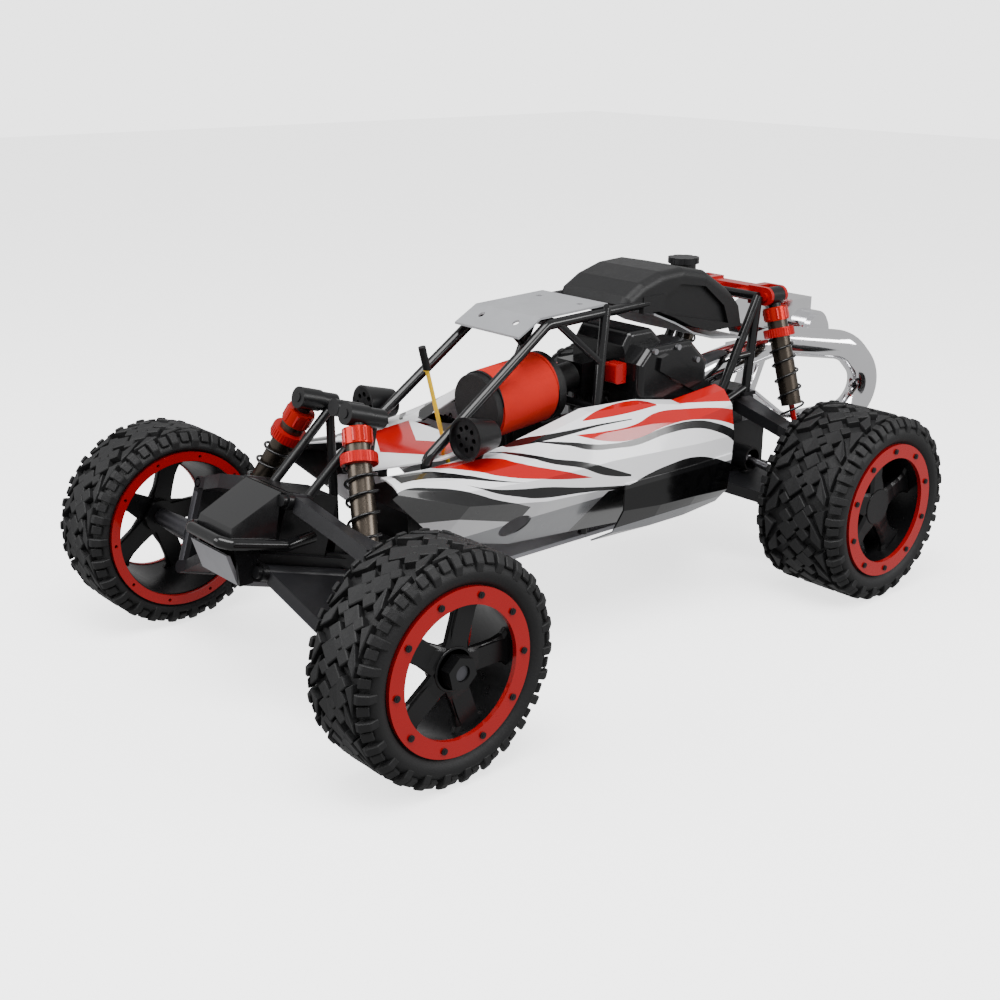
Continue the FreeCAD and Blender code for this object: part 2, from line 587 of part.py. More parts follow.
def front_bulkhead():
    """Block that carries the front arms' pins, with the shock tower above it."""
    floor = SKID_W + PLATE
    core_half = FRONT_UPPER_IN[0] - BARREL_R - 2.0
    low_half = FRONT_LOWER_IN[0] - BARREL_R - 1.5
    u_front = FRONT_LOWER_SPAN[1] + SLIDE_FIT
    u_rear = FRONT_LOWER_SPAN[0] - SLIDE_FIT
    upper_front = FRONT_UPPER_SPAN[1] + SLIDE_FIT
    upper_rear = FRONT_UPPER_SPAN[0] - SLIDE_FIT
    base = block(u_rear - 5, u_front + 5, -low_half, low_half, floor, floor + 24)
    core = block(-20.0, 30.0, -core_half, core_half, floor + 20, FRONT_UPPER_IN[1] + 6)
    low_y, low_w = FRONT_LOWER_IN
    up_y, up_w = FRONT_UPPER_IN
    pieces = [base, core]
    for u0, u1 in ((u_rear - 5, u_rear), (u_front, u_front + 5)):
        pieces.append(block(u0, u1, -low_y, low_y, low_w - 7, low_w + 7))
        for side in (-1, 1):
            pieces.append(rod(V(u0, side * low_y, low_w), V(u1, side * low_y, low_w), BARREL_R))
    for u0, u1 in ((upper_rear - 5, upper_rear), (upper_front, upper_front + 5)):
        pieces.append(block(u0, u1, -up_y, up_y, up_w - 7, up_w + 6))
        for side in (-1, 1):
            pieces.append(rod(V(u0, side * up_y, up_w), V(u1, side * up_y, up_w), BARREL_R))
    pins = []
    for side in (-1, 1):
        pins.append(rod(V(u_rear - 5, side * low_y, low_w), V(u_front + 9, side * low_y, low_w), PIN_R))
        pins.append(rod(V(u_front + 5, side * low_y, low_w), V(u_front + 9, side * low_y, low_w), PIN_R + 2))
        pins.append(rod(V(upper_rear - 5, side * up_y, up_w), V(upper_front + 9, side * up_y, up_w), PIN_R))
        pins.append(rod(V(upper_front + 5, side * up_y, up_w), V(upper_front + 9, side * up_y, up_w),
                        PIN_R + 2))
    return fuse(pieces + pins + [rack_guide()] + shock_tower())


def shock_tower():
    """Bent tubes that hold the tops of the front shocks."""
    top_y, top_w = FRONT_SHOCK_TOP
    tube = 5.0
    shapes = [rod(V(TOWER_TOP_U, -top_y + 2, top_w - 4), V(TOWER_TOP_U, top_y - 2, top_w - 4), tube)]
    shapes.append(rod(V(TOWER_TOP_U - 12, 0, top_w), V(TOWER_TOP_U + 18, 0, top_w), 7.5))
    eye_front = FRONT_SHOCK_U + 11.0
    for side in (-1, 1):
        boss = rod(V(TOWER_TOP_U - 8, side * top_y, top_w),
                   V(FRONT_SHOCK_U - 11.0 - SLIDE_FIT, side * top_y, top_w), 8.5)
        pin = rod(V(TOWER_TOP_U, side * top_y, top_w), V(eye_front + 1.0, side * top_y, top_w), PIN_R + 1.0)
        leg = rod(V(15.0, side * 26.0, FRONT_UPPER_IN[1] + 1),
                  V(TOWER_TOP_U, side * (top_y - 7), top_w - 4), tube - 1)
        brace = rod(V(TOWER_TOP_U - 2, side * (top_y - 3), top_w - 4),
                    V(TOWER_TOP_U - 30, side * 16.0, SKID_W + PLATE + 22.0), tube - 1)
        shapes += [boss, pin, leg, brace]
    shapes.append(block(TOWER_TOP_U - 36, -24.0, -19.0, -11.0, SKID_W + PLATE, SKID_W + PLATE + 26))
    shapes.append(block(TOWER_TOP_U - 36, -24.0, 11.0, 19.0, SKID_W + PLATE, SKID_W + PLATE + 26))
    return shapes


BUMPER_TUBE_R = 5.0


def front_bumper():
    """A tube lip round the nose, on two side plates."""
    lip_w = SKID_W + 34.0
    front = SKID_TIP_U + 22.0
    half = SKID_HALF_WIDTH + 2.0
    hoop = pipe([V(8, 38, lip_w + 14), V(34, half + 10, lip_w + 5), V(front - 6, half, lip_w),
                 V(front, half - 8, lip_w),
                 V(front, -half + 8, lip_w), V(front - 6, -half, lip_w), V(34, -half - 10,
                                                                           lip_w + 5), V(8, -38,
                                                                                         lip_w + 14)],
                BUMPER_TUBE_R, 4.6)
    shapes = [placed(hoop, FRONT_FRAME)]
    for side in (-1, 1):
        y = side * SKID_HALF_WIDTH
        plate = prism([V(52.5, y, SKID_W + PLATE), V(SKID_TIP_U, y, SKID_W), V(front - 9, y, lip_w),
                       V(52.5, y, lip_w + 4)], V(0, side * 3.5, 0))
        shapes.append(placed(plate, FRONT_FRAME))
    return fuse(shapes)


# ---------------------------------------------------------------- roll cage
A_PILLAR_FOOT = V(136, 48, CHASSIS_TOP)
A_PILLAR_KNEE = V(164, 48.8, 188.6)
A_PILLAR_TOP = V(19, 45, 288.6)
ROOF_REAR = V(-112, 43.5, 293)
ROOF_BEND = V(10, 45, 289.5)
B_PILLAR_TOP = V(-56, 45, 295)
B_PILLAR_WAIST = V(-30, 62, 206)
B_PILLAR_FOOT = V(-24, 54, CHASSIS_TOP)
REAR_APEX = V(-278, 46, 281)
REAR_FRONT_FOOT = V(-163, 52, CHASSIS_TOP)
REAR_BACK_FOOT = V(-259, 52.6, 184)


def roll_cage():
    tubes = []
    for side in (-1, 1):
        def at(point):
            return V(point.x, point.y * side, point.z)

        rail = pipe([at(A_PILLAR_FOOT), at(A_PILLAR_KNEE), at(A_PILLAR_TOP), at(ROOF_REAR)], CAGE_TUBE_R,
                    12.0)
        pillar = pipe([at(B_PILLAR_TOP), at(B_PILLAR_WAIST), at(B_PILLAR_FOOT)], CAGE_TUBE_R, 30.0)
        diagonal = rod(at(along(A_PILLAR_TOP, ROOF_REAR, 0.1)),
                       at(along(B_PILLAR_TOP, B_PILLAR_WAIST, 0.55)), CAGE_TUBE_R - 1)
        front_leg = rod(at(REAR_APEX), at(REAR_FRONT_FOOT), CAGE_TUBE_R)
        back_leg = rod(at(REAR_APEX), at(REAR_BACK_FOOT), CAGE_TUBE_R)
        tie = rod(at(along(REAR_APEX, REAR_FRONT_FOOT, 0.3)), at(along(REAR_APEX, REAR_BACK_FOOT, 0.6)),
                  CAGE_TUBE_R - 1)
        tie_low = rod(at(along(REAR_APEX, REAR_FRONT_FOOT, 0.55)),
                      at(along(REAR_APEX, REAR_BACK_FOOT, 0.95)), CAGE_TUBE_R - 1)
        tubes += [rail, pillar, diagonal, front_leg, back_leg, tie, tie_low]
    for point in (ROOF_BEND, B_PILLAR_TOP, B_PILLAR_WAIST, REAR_APEX):
        tubes.append(rod(V(point.x, -point.y, point.z), point, CAGE_TUBE_R - 0.5))
    return fuse(tubes)


TRAY_HALF = 48.0


def roof_plate():
    """Bent roof sheet on the rails, and the curved sheet under the tank."""
    lift = CAGE_TUBE_R + 0.3
    z_bend = ROOF_REAR.z - 3.8 + lift
    half = 45.0
    slope = [V(53, -half, 280), V(27, -half, z_bend), V(-58, -half, ROOF_REAR.z + lift - 0.6)]
    outline = slope + [p + V(0, 0, 2.0) for p in reversed(slope)]
    sheet = prism(outline, V(0, 2 * half, 0))
    holes = [rod(V(38, y, 260), V(38, y, 310), 3.2) for y in (-24, 24)]
    holes += [rod(V(-38, y, 280), V(-38, y, 320), 3.2) for y in (-28, 28)]
    sheet = sheet.cut(group(holes))
    tray_line = [(-119, 283), (-150, 270.5), (-178, 257), (-208, 248), (-258, 242)]
    upper = [V(x, -TRAY_HALF, z) for x, z in tray_line]
    lower = [p - V(0, 0, 2.0) for p in reversed(upper)]
    tray = prism(upper + lower, V(0, 2 * TRAY_HALF, 0))
    return group([sheet, tray])


# ---------------------------------------------------------------- body shells
SIDE_STATIONS = [
    (222, [(64, 190), (72, 190), (80, 188), (86, 185), (88, 181), (80, 175)]),
    (160, [(57, 185), (70, 186), (90, 182), (102, 174), (105, 162), (64, 118)]),
    (80, [(58, 190), (76, 191), (98, 186), (112, 172), (115, 152), (64, 98)]),
    (0, [(70, 213), (84, 212), (104, 197), (117, 174), (119, 149), (64, 92)]),
    (-60, [(81, 214), (92, 212), (108, 196), (119, 172), (120, 146), (66, 88)]),
    (-110, [(84, 206), (98, 204), (112, 191), (120, 170), (120, 147), (72, 86)]),
    (-165, [(90, 214), (102, 211), (113, 198), (118, 168), (116, 140), (78, 92)]),
]


def offset_line(points, distance):
    """The same open line moved inward, to the left of its direction of travel."""
    out = []
    for i, (y, z) in enumerate(points):
        before = points[max(i - 1, 0)]
        after = points[min(i + 1, len(points) - 1)]
        dy, dz = after[0] - before[0], after[1] - before[1]
        length = math.hypot(dy, dz)
        out.append((y + dz / length * distance, z - dy / length * distance))
    return out


def skin(stations, wall):
    wires = []
    for x, points in stations:
        loop = points + list(reversed(offset_line(points, wall)))
        corners = [V(x, y, z) for y, z in loop]
        wires.append(Part.makePolygon(corners + [corners[0]]))
    pieces = [Part.makeLoft([a, b], True, True) for a, b in zip(wires, wires[1:])]
    return fuse(pieces)


def side_shell():
    shell = skin(SIDE_STATIONS, SHELL)
    duct = Part.makeCylinder(13.0, 60, V(92, 40, 124), V(0, 1, 0))
    stretch = block(78, 106, 40, 100, 111, 137)
    return shell.cut(fuse([duct, stretch.common(duct)]))


GUARD_STATIONS = [
    (-12, [(120.5, 150), (119.5, 124), (106, 99), (78, 83)]),
    (-60, [(121.3, 150), (121, 120), (108, 96), (79, 82)]),
    (-110, [(121.4, 150), (120.5, 118), (106, 95), (80, 82)]),
    (-164, [(118.0, 150), (114, 112), (100, 96), (82, 86)]),
]


def side_guard():
    return skin(GUARD_STATIONS, SHELL)


def nose_cover():
    def cut_section(u, low_y, low_w, top_y, top_w):
        return [V(u, -low_y, low_w), V(u, low_y, low_w), V(u, top_y, top_w), V(u, -top_y, top_w)]

    wall = SHELL
    shell = beam(cut_section(41, 33, 44, 27, 81), cut_section(79, 27, 38, 25, 47))
    room = beam(cut_section(39, 33 - wall, 36, 27 - wall, 81.5 - wall),
                cut_section(77, 27 - wall, 30, 25 - wall, 47.5 - wall))
    return shell.cut(room)


AERIAL_BASE = V(110.3, 25, 143)
AERIAL_TIP = V(147, 25, 283)
AERIAL_R = 1.9


def hood_deck():
    """The deck between the side shells, ahead of the cabin."""
    sections = []
    for x, half, z in ((205, 30, 184), (150, 56, 189), (104, 57, 193)):
        sections.append(Part.makePolygon([V(x, -half, z), V(x, half, z), V(x, half, z + SHELL),
                                          V(x, -half, z + SHELL), V(x, -half, z)]))
    deck = fuse([Part.makeLoft([a, b], True, True) for a, b in zip(sections, sections[1:])])
    return deck.cut(rod(AERIAL_BASE, AERIAL_TIP, AERIAL_R + 2.0))


def body_panels():
    solids = [placed(nose_cover(), FRONT_FRAME), hood_deck()]
    solids += both_sides(side_shell())
    solids += both_sides(side_guard().cut(side_shell()))
    return group(solids)


LAMP_CENTRE = V(140, 74, 210)
LAMP_R = 19.0


def headlights():
    back = V(LAMP_CENTRE.x - 32, LAMP_CENTRE.y - 3, LAMP_CENTRE.z - 2)
    cup = cone(back, LAMP_CENTRE, LAMP_R - 6, LAMP_R)
    room = cone(along(back, LAMP_CENTRE, 0.3), LAMP_CENTRE + V(0.5, 0, 0), LAMP_R - 7, LAMP_R - 2)
    grille = rod(LAMP_CENTRE - V(5, 0, 0), LAMP_CENTRE - V(2, 0, 0), LAMP_R - 1.5)
    holes = [rod(LAMP_CENTRE - V(8, 0, 0), LAMP_CENTRE + V(3, 0, 0), 1.8)]
    hole = rod(LAMP_CENTRE + V(-8, 0, 10), LAMP_CENTRE + V(3, 0, 10), 2.4)
    holes += ring_of(8, LAMP_CENTRE, V(1, 0, 0), hole)
    stalk = rod(along(back, LAMP_CENTRE, 0.35) - V(0, 2, LAMP_R - 5), V(120, 66, 184), 4.0)
    lamp = fuse([cup.cut(room), grille.cut(group(holes)), stalk])
    return group(both_sides(lamp))


# ---------------------------------------------------------------- engine bay
FILTER_FRONT = V(73, 18, 217.7)
FILTER_REAR = V(7, 18, 224)
FILTER_R = 32.0


def air_filter():
    step = (FILTER_FRONT - FILTER_REAR).normalize()
    foam = rod(FILTER_REAR, FILTER_FRONT, FILTER_R)
    front_cap = rod(FILTER_FRONT, FILTER_FRONT + step * 7.0, FILTER_R - 1.5)
    flange = rod(FILTER_REAR - step * 9.0, FILTER_REAR, FILTER_R + 1.0)
    neck = rod(FILTER_REAR - step * 44.0, FILTER_REAR - step * 5.0, 14.0)
    return group([foam, front_cap, fuse([flange, neck])])


ENGINE_FRONT = -70.0
ENGINE_REAR = -168.0
COVER_SIDE = 78.0
GRIP_X = -100.0
GRIP_Z = 150.0
KILL_SWITCH = (-52.0, 56.0, 236.0)


def engine():
    """Crankcase, finned cylinder, carburettor and the moulded cooling shroud."""
    case = block(ENGINE_FRONT - 80, ENGINE_FRONT - 14, -44, 40, CHASSIS_TOP, 168)
    cylinder = rod(V(-118, 0, 160), V(-118, 0, 238), 26.0)
    fins = [rod(V(-118, 0, 178 + 9 * i), V(-118, 0, 181 + 9 * i), 33.0) for i in range(6)]
    plug = rod(V(-118, 0, 236), V(-118, 0, 252), 5.0)
    cover_points = [V(ENGINE_FRONT, 38, 158), V(ENGINE_FRONT, 38, 244), V(ENGINE_FRONT - 14, 38, 258),
                    V(ENGINE_REAR + 24, 38, 258),
                    V(ENGINE_REAR, 38, 236), V(ENGINE_REAR, 38, 176), V(ENGINE_REAR + 20, 38, 158)]
    cover = prism(cover_points, V(0, COVER_SIDE - 38, 0))
    cover = cover.makeFillet(7.0, [e for e in cover.Edges if e.BoundBox.YMin > COVER_SIDE - 0.1])
    switch_x, switch_y, switch_z = KILL_SWITCH
    shade = prism([V(-94, 70, 236), V(-96, 70, 248), V(-108, 70, 250), V(-172, 70, 210),
                   V(-166, 70, 197)], V(0, 11.5, 0))
    dome = prism([V(-68, -10, 238), V(-68, -10, 260), V(-76, -10, 272), V(-106, -10, 272), V(-124, -10, 256),
                  V(-124, -10, 238)], V(0, 70, 0))
    dome = dome.makeFillet(6.0, [e for e in dome.Edges if e.BoundBox.ZMin > 250])
    carb = block(ENGINE_FRONT - 8, -39.2, -2, 32, 212, 242)
    bowl = rod(V(-60, 15, 198), V(-60, 15, 212), 11.0)
    inlet = block(-98, ENGINE_FRONT - 7, -6, 30, 214, 240)
    starter = rod(V(-118, -44, 128), V(-118, -62, 128), 34.0)
    housing = rod(V(-118, -62, 128), V(-118, -68, 128), 16.0)
    handle_hole = rod(V(GRIP_X, -80, GRIP_Z), V(GRIP_X, -46, GRIP_Z), 3.2)
    switch_hole = block(switch_x - 22, switch_x - 12, switch_y - 5, switch_y + 5, switch_z - 5, switch_z + 5)
    mount = block(ENGINE_FRONT - 46, ENGINE_FRONT - 16, 30, 46, 150, 176)
    body = fuse([case, cylinder, plug, cover, inlet, starter, housing, mount, shade, carb, bowl,
                 dome] + fins)
    return body.cut(fuse([handle_hole])).cut(switch_hole)


def pull_handle():
    """T-shaped starter grip with its cord guide in the recoil housing."""
    grip = rod(V(GRIP_X - 14, -76, GRIP_Z), V(GRIP_X + 14, -76, GRIP_Z), 5.0)
    stem = rod(V(GRIP_X, -72, GRIP_Z), V(GRIP_X, -50, GRIP_Z), 3.0)
    collar = rod(V(GRIP_X, -76, GRIP_Z), V(GRIP_X, -62.4, GRIP_Z), 4.4)
    return fuse([grip, collar, stem])


def kill_switch():
    """Red push button that stands out of the cooling shroud's front."""
    x, y, z = KILL_SWITCH
    cap = block(x - 13, x, y - 7, y + 9, z - 10, z + 9)
    cap = cap.makeFillet(2.5, [e for e in cap.Edges if e.BoundBox.XMin > x - 0.1])
    stem = block(x - 19, x - 12, y - 4.8, y + 4.8, z - 4.8, z + 4.8)
    return fuse([cap, stem])


TANK_HALF = 47.0
TANK_LINE = [(-80, 294), (-84, 302), (-104, 313), (-132, 321), (-162, 322.5), (-196, 316), (-226, 298),
             (-246, 275),
             (-252, 254)]
TANK_FLOOR = [(-205, 254), (-176, 263), (-150, 275), (-118, 287), (-84, 291.5)]
FILLER = V(-212, 0, 310.3)


def fuel_tank():
    outline = [V(x, -TANK_HALF, z) for x, z in TANK_LINE + TANK_FLOOR]
    body = prism(outline, V(0, 2 * TANK_HALF, 0))
    flat = [e for e in body.Edges if e.BoundBox.YLength < 0.1]
    upper = [e for e in flat if e.BoundBox.ZMax > 300 and e.BoundBox.ZMin > 253.9]
    body = body.makeFillet(9.0, upper)
    for side in (-1, 1):
        recess = prism([V(-138, side * TANK_HALF, 279), V(-134, side * TANK_HALF, 296),
                        V(-158, side * TANK_HALF, 307),
                        V(-194, side * TANK_HALF, 301), V(-224, side * TANK_HALF, 278),
                        V(-232, side * TANK_HALF, 259)], V(0, -side * 4.5, 0))
        body = body.cut(recess)
    neck = rod(FILLER - V(0, 0, 14), FILLER + V(0, 0, 6), 13.0)
    ears = []
    for side in (-1, 1):
        ears.append(block(-134, -104, side * 45 - 3, side * 45 + 3, 284, 300))
    return fuse([body, neck] + ears)


def fuel_cap():
    base = FILLER + V(0, 0, 6.3)
    top = base + V(0, 0, 6)
    grip = rod(base, top, 16.0)
    notch = rod(base + V(17.5, 0, -1), top + V(17.5, 0, 1), 3.0)
    return grip.cut(group(ring_of(8, base, V(0, 0, 1), notch)))


PIPE_R = 16.0


def exhaust():
    """Header, the big loop round the tail and the silencer with its clamp."""
    bend = 36.0
    loop = pipe([V(-176, 12, 190), V(-236, 20, 207), V(-330, 34, 226), V(-400, 74, 218), V(-437, 82, 178),
                 V(-412, 74, 138), V(-352, 52, 132)], PIPE_R, bend)
    tail = pipe([V(-362, 56, 133), V(-338, 42, 130), V(-356, -30, 150), V(-400, -44, 200)], PIPE_R - 3, 20.0)
    can = rod(V(-405, -78, 224), V(-405, 28, 224), 24.0)
    end = rod(V(-405, 28, 224), V(-405, 32, 224), 20.0)
    clamp = block(-408, -374, -22, 18, 238, 262)
    hanger = block(-396, -300, -12, -4, 212, 220)
    outlet = rod(V(-405, -70, 234), V(-427, -74, 254), 6.0)
    header = rod(V(-146, 9, 181), V(-180, 12.5, 191), PIPE_R + 2)
    return fuse([loop, tail, can, end, clamp, hanger, outlet, header])


# ---------------------------------------------------------------- gearbox and rear
def gearbox():
    """Differential case between the rear arms, with the arms' hinge pins."""
    low_y, low_w = REAR_LOWER_IN
    up_y, up_w = REAR_UPPER_IN
    rear, front = REAR_LOWER_SPAN[0] - SLIDE_FIT, REAR_LOWER_SPAN[1] + SLIDE_FIT
    up_rear, up_front = REAR_UPPER_SPAN[0] - SLIDE_FIT, REAR_UPPER_SPAN[1] + SLIDE_FIT
    half = low_y - BARREL_R - 2.0
    floor = CHASSIS_TOP - TYRE_RADIUS
    case = block(rear - 5, front + 5, -half, half, floor, 48)
    neck = block(-12, 36, -half + 4, half - 4, 40, up_w + 9.5)
    pieces = [case, neck]
    for u0, u1 in ((rear - 5, rear), (front, front + 5)):
        pieces.append(block(u0, u1, -low_y, low_y, floor, low_w + 7))
        for side in (-1, 1):
            pieces.append(rod(V(u0, side * low_y, low_w), V(u1, side * low_y, low_w), 3.9))
    for u0, u1 in ((up_rear - 5, up_rear), (up_front, up_front + 5)):
        pieces.append(block(u0, u1, -up_y, up_y, up_w - 7, up_w + 7))
        for side in (-1, 1):
            pieces.append(rod(V(u0, side * up_y, up_w), V(u1, side * up_y, up_w), BARREL_R))
    for side in (-1, 1):
        pieces.append(rod(V(rear - 5, side * low_y, low_w), V(front + 5, side * low_y, low_w), PIN_R))
        pieces.append(rod(V(up_rear - 5, side * up_y, up_w), V(up_front + 5, side * up_y, up_w), PIN_R))
    gear_cover = rod(V(58, -24, 22), V(58, 8, 22), 34.0)
    bracket = block(10, 28, -58, 58, up_w + 9, up_w + 12.5)
    pieces += [gear_cover, bracket]
    shape = fuse(pieces)
    for side in (-1, 1):
        shape = shape.cut(rod(V(0, side * (half - 8), DIFF_Z), V(0, side * (half + 20), DIFF_Z), 11.0))
        cup = sleeve(V(0, side * (half - 8), DIFF_Z), V(0, side * (DIFF_CUP_Y + 8), DIFF_Z), 13.0, 11.0)
        shape = shape.fuse(cup)
    below = block(-200, 200, -200, 200, floor - 60, floor)
    return placed(shape.cut(below), REAR_FRAME)


def rear_brace():
    """Red crossbar between the frames, with a clevis for each rear shock."""
    top_y, top_w = REAR_SHOCK_TOP
    eye_half = 9.0
    bar = block(REAR_SHOCK_U - 8, REAR_SHOCK_U + 8, -top_y + 12, top_y - 12, top_w - 7, top_w + 8)
    pieces = [bar]
    for y in (-30.0, 14.0):
        pieces.append(block(REAR_SHOCK_U + 7, 0.0, y, y + 16.0, top_w - 3, top_w + 5))
    for side in (-1, 1):
        for u0, u1 in ((REAR_SHOCK_U - eye_half - SLIDE_FIT - 4, REAR_SHOCK_U - eye_half - SLIDE_FIT),
                       (REAR_SHOCK_U + eye_half + SLIDE_FIT, REAR_SHOCK_U + eye_half + SLIDE_FIT + 4)):
            y0, y1 = sorted((side * (top_y - 22), side * top_y))
            pieces.append(block(u0, u1, y0, y1, top_w - 9, top_w + 10))
            pieces.append(rod(V(u0, side * top_y, top_w + 0.5), V(u1, side * top_y, top_w + 0.5), 9.5))
        pieces.append(block(REAR_SHOCK_U - 13, REAR_SHOCK_U + 13,
                            *sorted((side * (top_y - 22), side * (top_y - 12))), top_w - 9, top_w + 10))
        pieces.append(rod(V(REAR_SHOCK_U - 15, side * top_y, top_w),
                          V(REAR_SHOCK_U + 15, side * top_y, top_w), PIN_R + 1.0))
    return placed(fuse(pieces), REAR_FRAME)


def radio_box():
    """Receiver and battery box with the steering servo and the aerial."""
    box = block(92, 176, -40, 40, CHASSIS_TOP, 138)
    lid = block(89, 179, -43, 43, 138, 143)
    servo = block(180, 203, -22, 22, CHASSIS_TOP, 116)
    tube = rod(AERIAL_BASE, AERIAL_TIP, AERIAL_R)
    tip = rod(along(AERIAL_BASE, AERIAL_TIP, 0.85), AERIAL_TIP, 3.4)
    socket = rod(AERIAL_BASE, along(AERIAL_BASE, AERIAL_TIP, 0.07), 5.5)
    aerial = fuse([tube, tip, socket]).cut(lid)
    return group([fuse([box, lid]), servo, aerial])


# ---------------------------------------------------------------- assembly
def corner(parts, frame, prefix):
    nodes = {}
    for name, shape in parts.items():
        left = placed(shape, frame)
        nodes[prefix + "_left_" + name] = left
        nodes[prefix + "_right_" + name] = mirrored(left)
    return nodes


def build():
    front = {"lower_arm": front_lower_arm(), "upper_arm": front_upper_arm(),
             "hub_carrier": front_hub_carrier(), "knuckle": front_knuckle()}
    front.update(front_wheel())
    front.update(shock(FRONT_SHOCK_TOP, FRONT_SHOCK_LOW, FRONT_SHOCK_U, FRONT_SHOCK_TUBE_SHARE, 22.0))
    front["tie_rod"] = tie_rod()
    rear = {"lower_arm": rear_lower_arm(), "upper_arm": rear_upper_arm(),
            "hub_carrier": rear_hub_carrier(), "driveshaft": driveshaft()}
    rear.update(rear_wheel())
    rear.update(shock(REAR_SHOCK_TOP, REAR_SHOCK_LOW, REAR_SHOCK_U, REAR_SHOCK_TUBE_SHARE, 18.0))
    nodes = corner(front, FRONT_FRAME, "front")
    nodes.update(corner(rear, REAR_FRAME, "rear"))
    chassis = chassis_plate()
    cage = roll_cage().cut(chassis)
    bulkhead = placed(front_bulkhead(), FRONT_FRAME).cut(chassis)
    bumper = front_bumper().cut(bulkhead)
    gear_case = gearbox()
    cage = cage.cut(gear_case)
    panels = body_panels().cut(group([cage, bumper, bulkhead]))
    motor = engine()
    nodes.update({
        "chassis_plate": chassis,
        "front_bulkhead": bulkhead,
        "steering_rack": placed(steering_rack(), FRONT_FRAME),
        "front_bumper": bumper,
        "roll_cage": cage,
        "roof_plate": roof_plate().cut(cage),
        "body_panels": panels,
        "headlights": group([s for s in headlights().cut(panels).Solids if s.Volume > 1000]),
        "air_filter": air_filter(),
        "engine": motor,
        "pull_handle": pull_handle(),
        "kill_switch": kill_switch(),
        "fuel_tank": fuel_tank().cut(cage),
        "fuel_cap": fuel_cap(),
        "exhaust": exhaust().cut(motor),
        "gearbox": gear_case,
        "rear_brace": rear_brace().cut(cage),
        "radio_box": radio_box(),
    })
    return nodes


os.makedirs("parts", exist_ok=True)
for node, shape in build().items():
    shape.translate(V(-ORIGIN_X, 0, 0))
    shape.exportStep(os.path.join("parts", node + ".step"))
    box = shape.BoundBox
    print(f"{node:28s} {len(shape.Solids)} solids  {shape.isValid()}  {shape.Volume / 1000:8.1f} cm3  "
          f"x {box.XMin:.0f}..{box.XMax:.0f} y {box.YMin:.0f}..{box.YMax:.0f} z {box.ZMin:.0f}..{box.ZMax:.0f}")
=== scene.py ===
import bpy
import json
import math
from mathutils import Matrix, Vector


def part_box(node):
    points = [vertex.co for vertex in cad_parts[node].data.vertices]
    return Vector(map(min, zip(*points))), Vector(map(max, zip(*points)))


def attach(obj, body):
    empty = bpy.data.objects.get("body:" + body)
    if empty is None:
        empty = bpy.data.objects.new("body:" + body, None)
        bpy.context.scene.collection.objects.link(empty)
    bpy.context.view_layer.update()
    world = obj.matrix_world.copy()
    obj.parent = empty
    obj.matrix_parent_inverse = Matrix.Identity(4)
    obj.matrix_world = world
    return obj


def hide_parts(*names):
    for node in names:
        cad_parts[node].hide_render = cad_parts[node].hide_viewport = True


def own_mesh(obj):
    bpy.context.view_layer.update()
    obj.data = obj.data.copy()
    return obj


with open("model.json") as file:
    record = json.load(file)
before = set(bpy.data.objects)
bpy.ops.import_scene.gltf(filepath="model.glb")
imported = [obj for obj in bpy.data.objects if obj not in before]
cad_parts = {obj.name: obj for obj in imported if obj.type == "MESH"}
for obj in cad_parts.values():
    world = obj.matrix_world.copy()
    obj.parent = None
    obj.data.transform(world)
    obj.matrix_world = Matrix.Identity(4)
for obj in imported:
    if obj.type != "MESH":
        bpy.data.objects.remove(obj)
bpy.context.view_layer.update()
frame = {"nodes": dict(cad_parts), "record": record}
CORNERS = [(end, side) for end in ("front", "rear") for side in ("left", "right")]


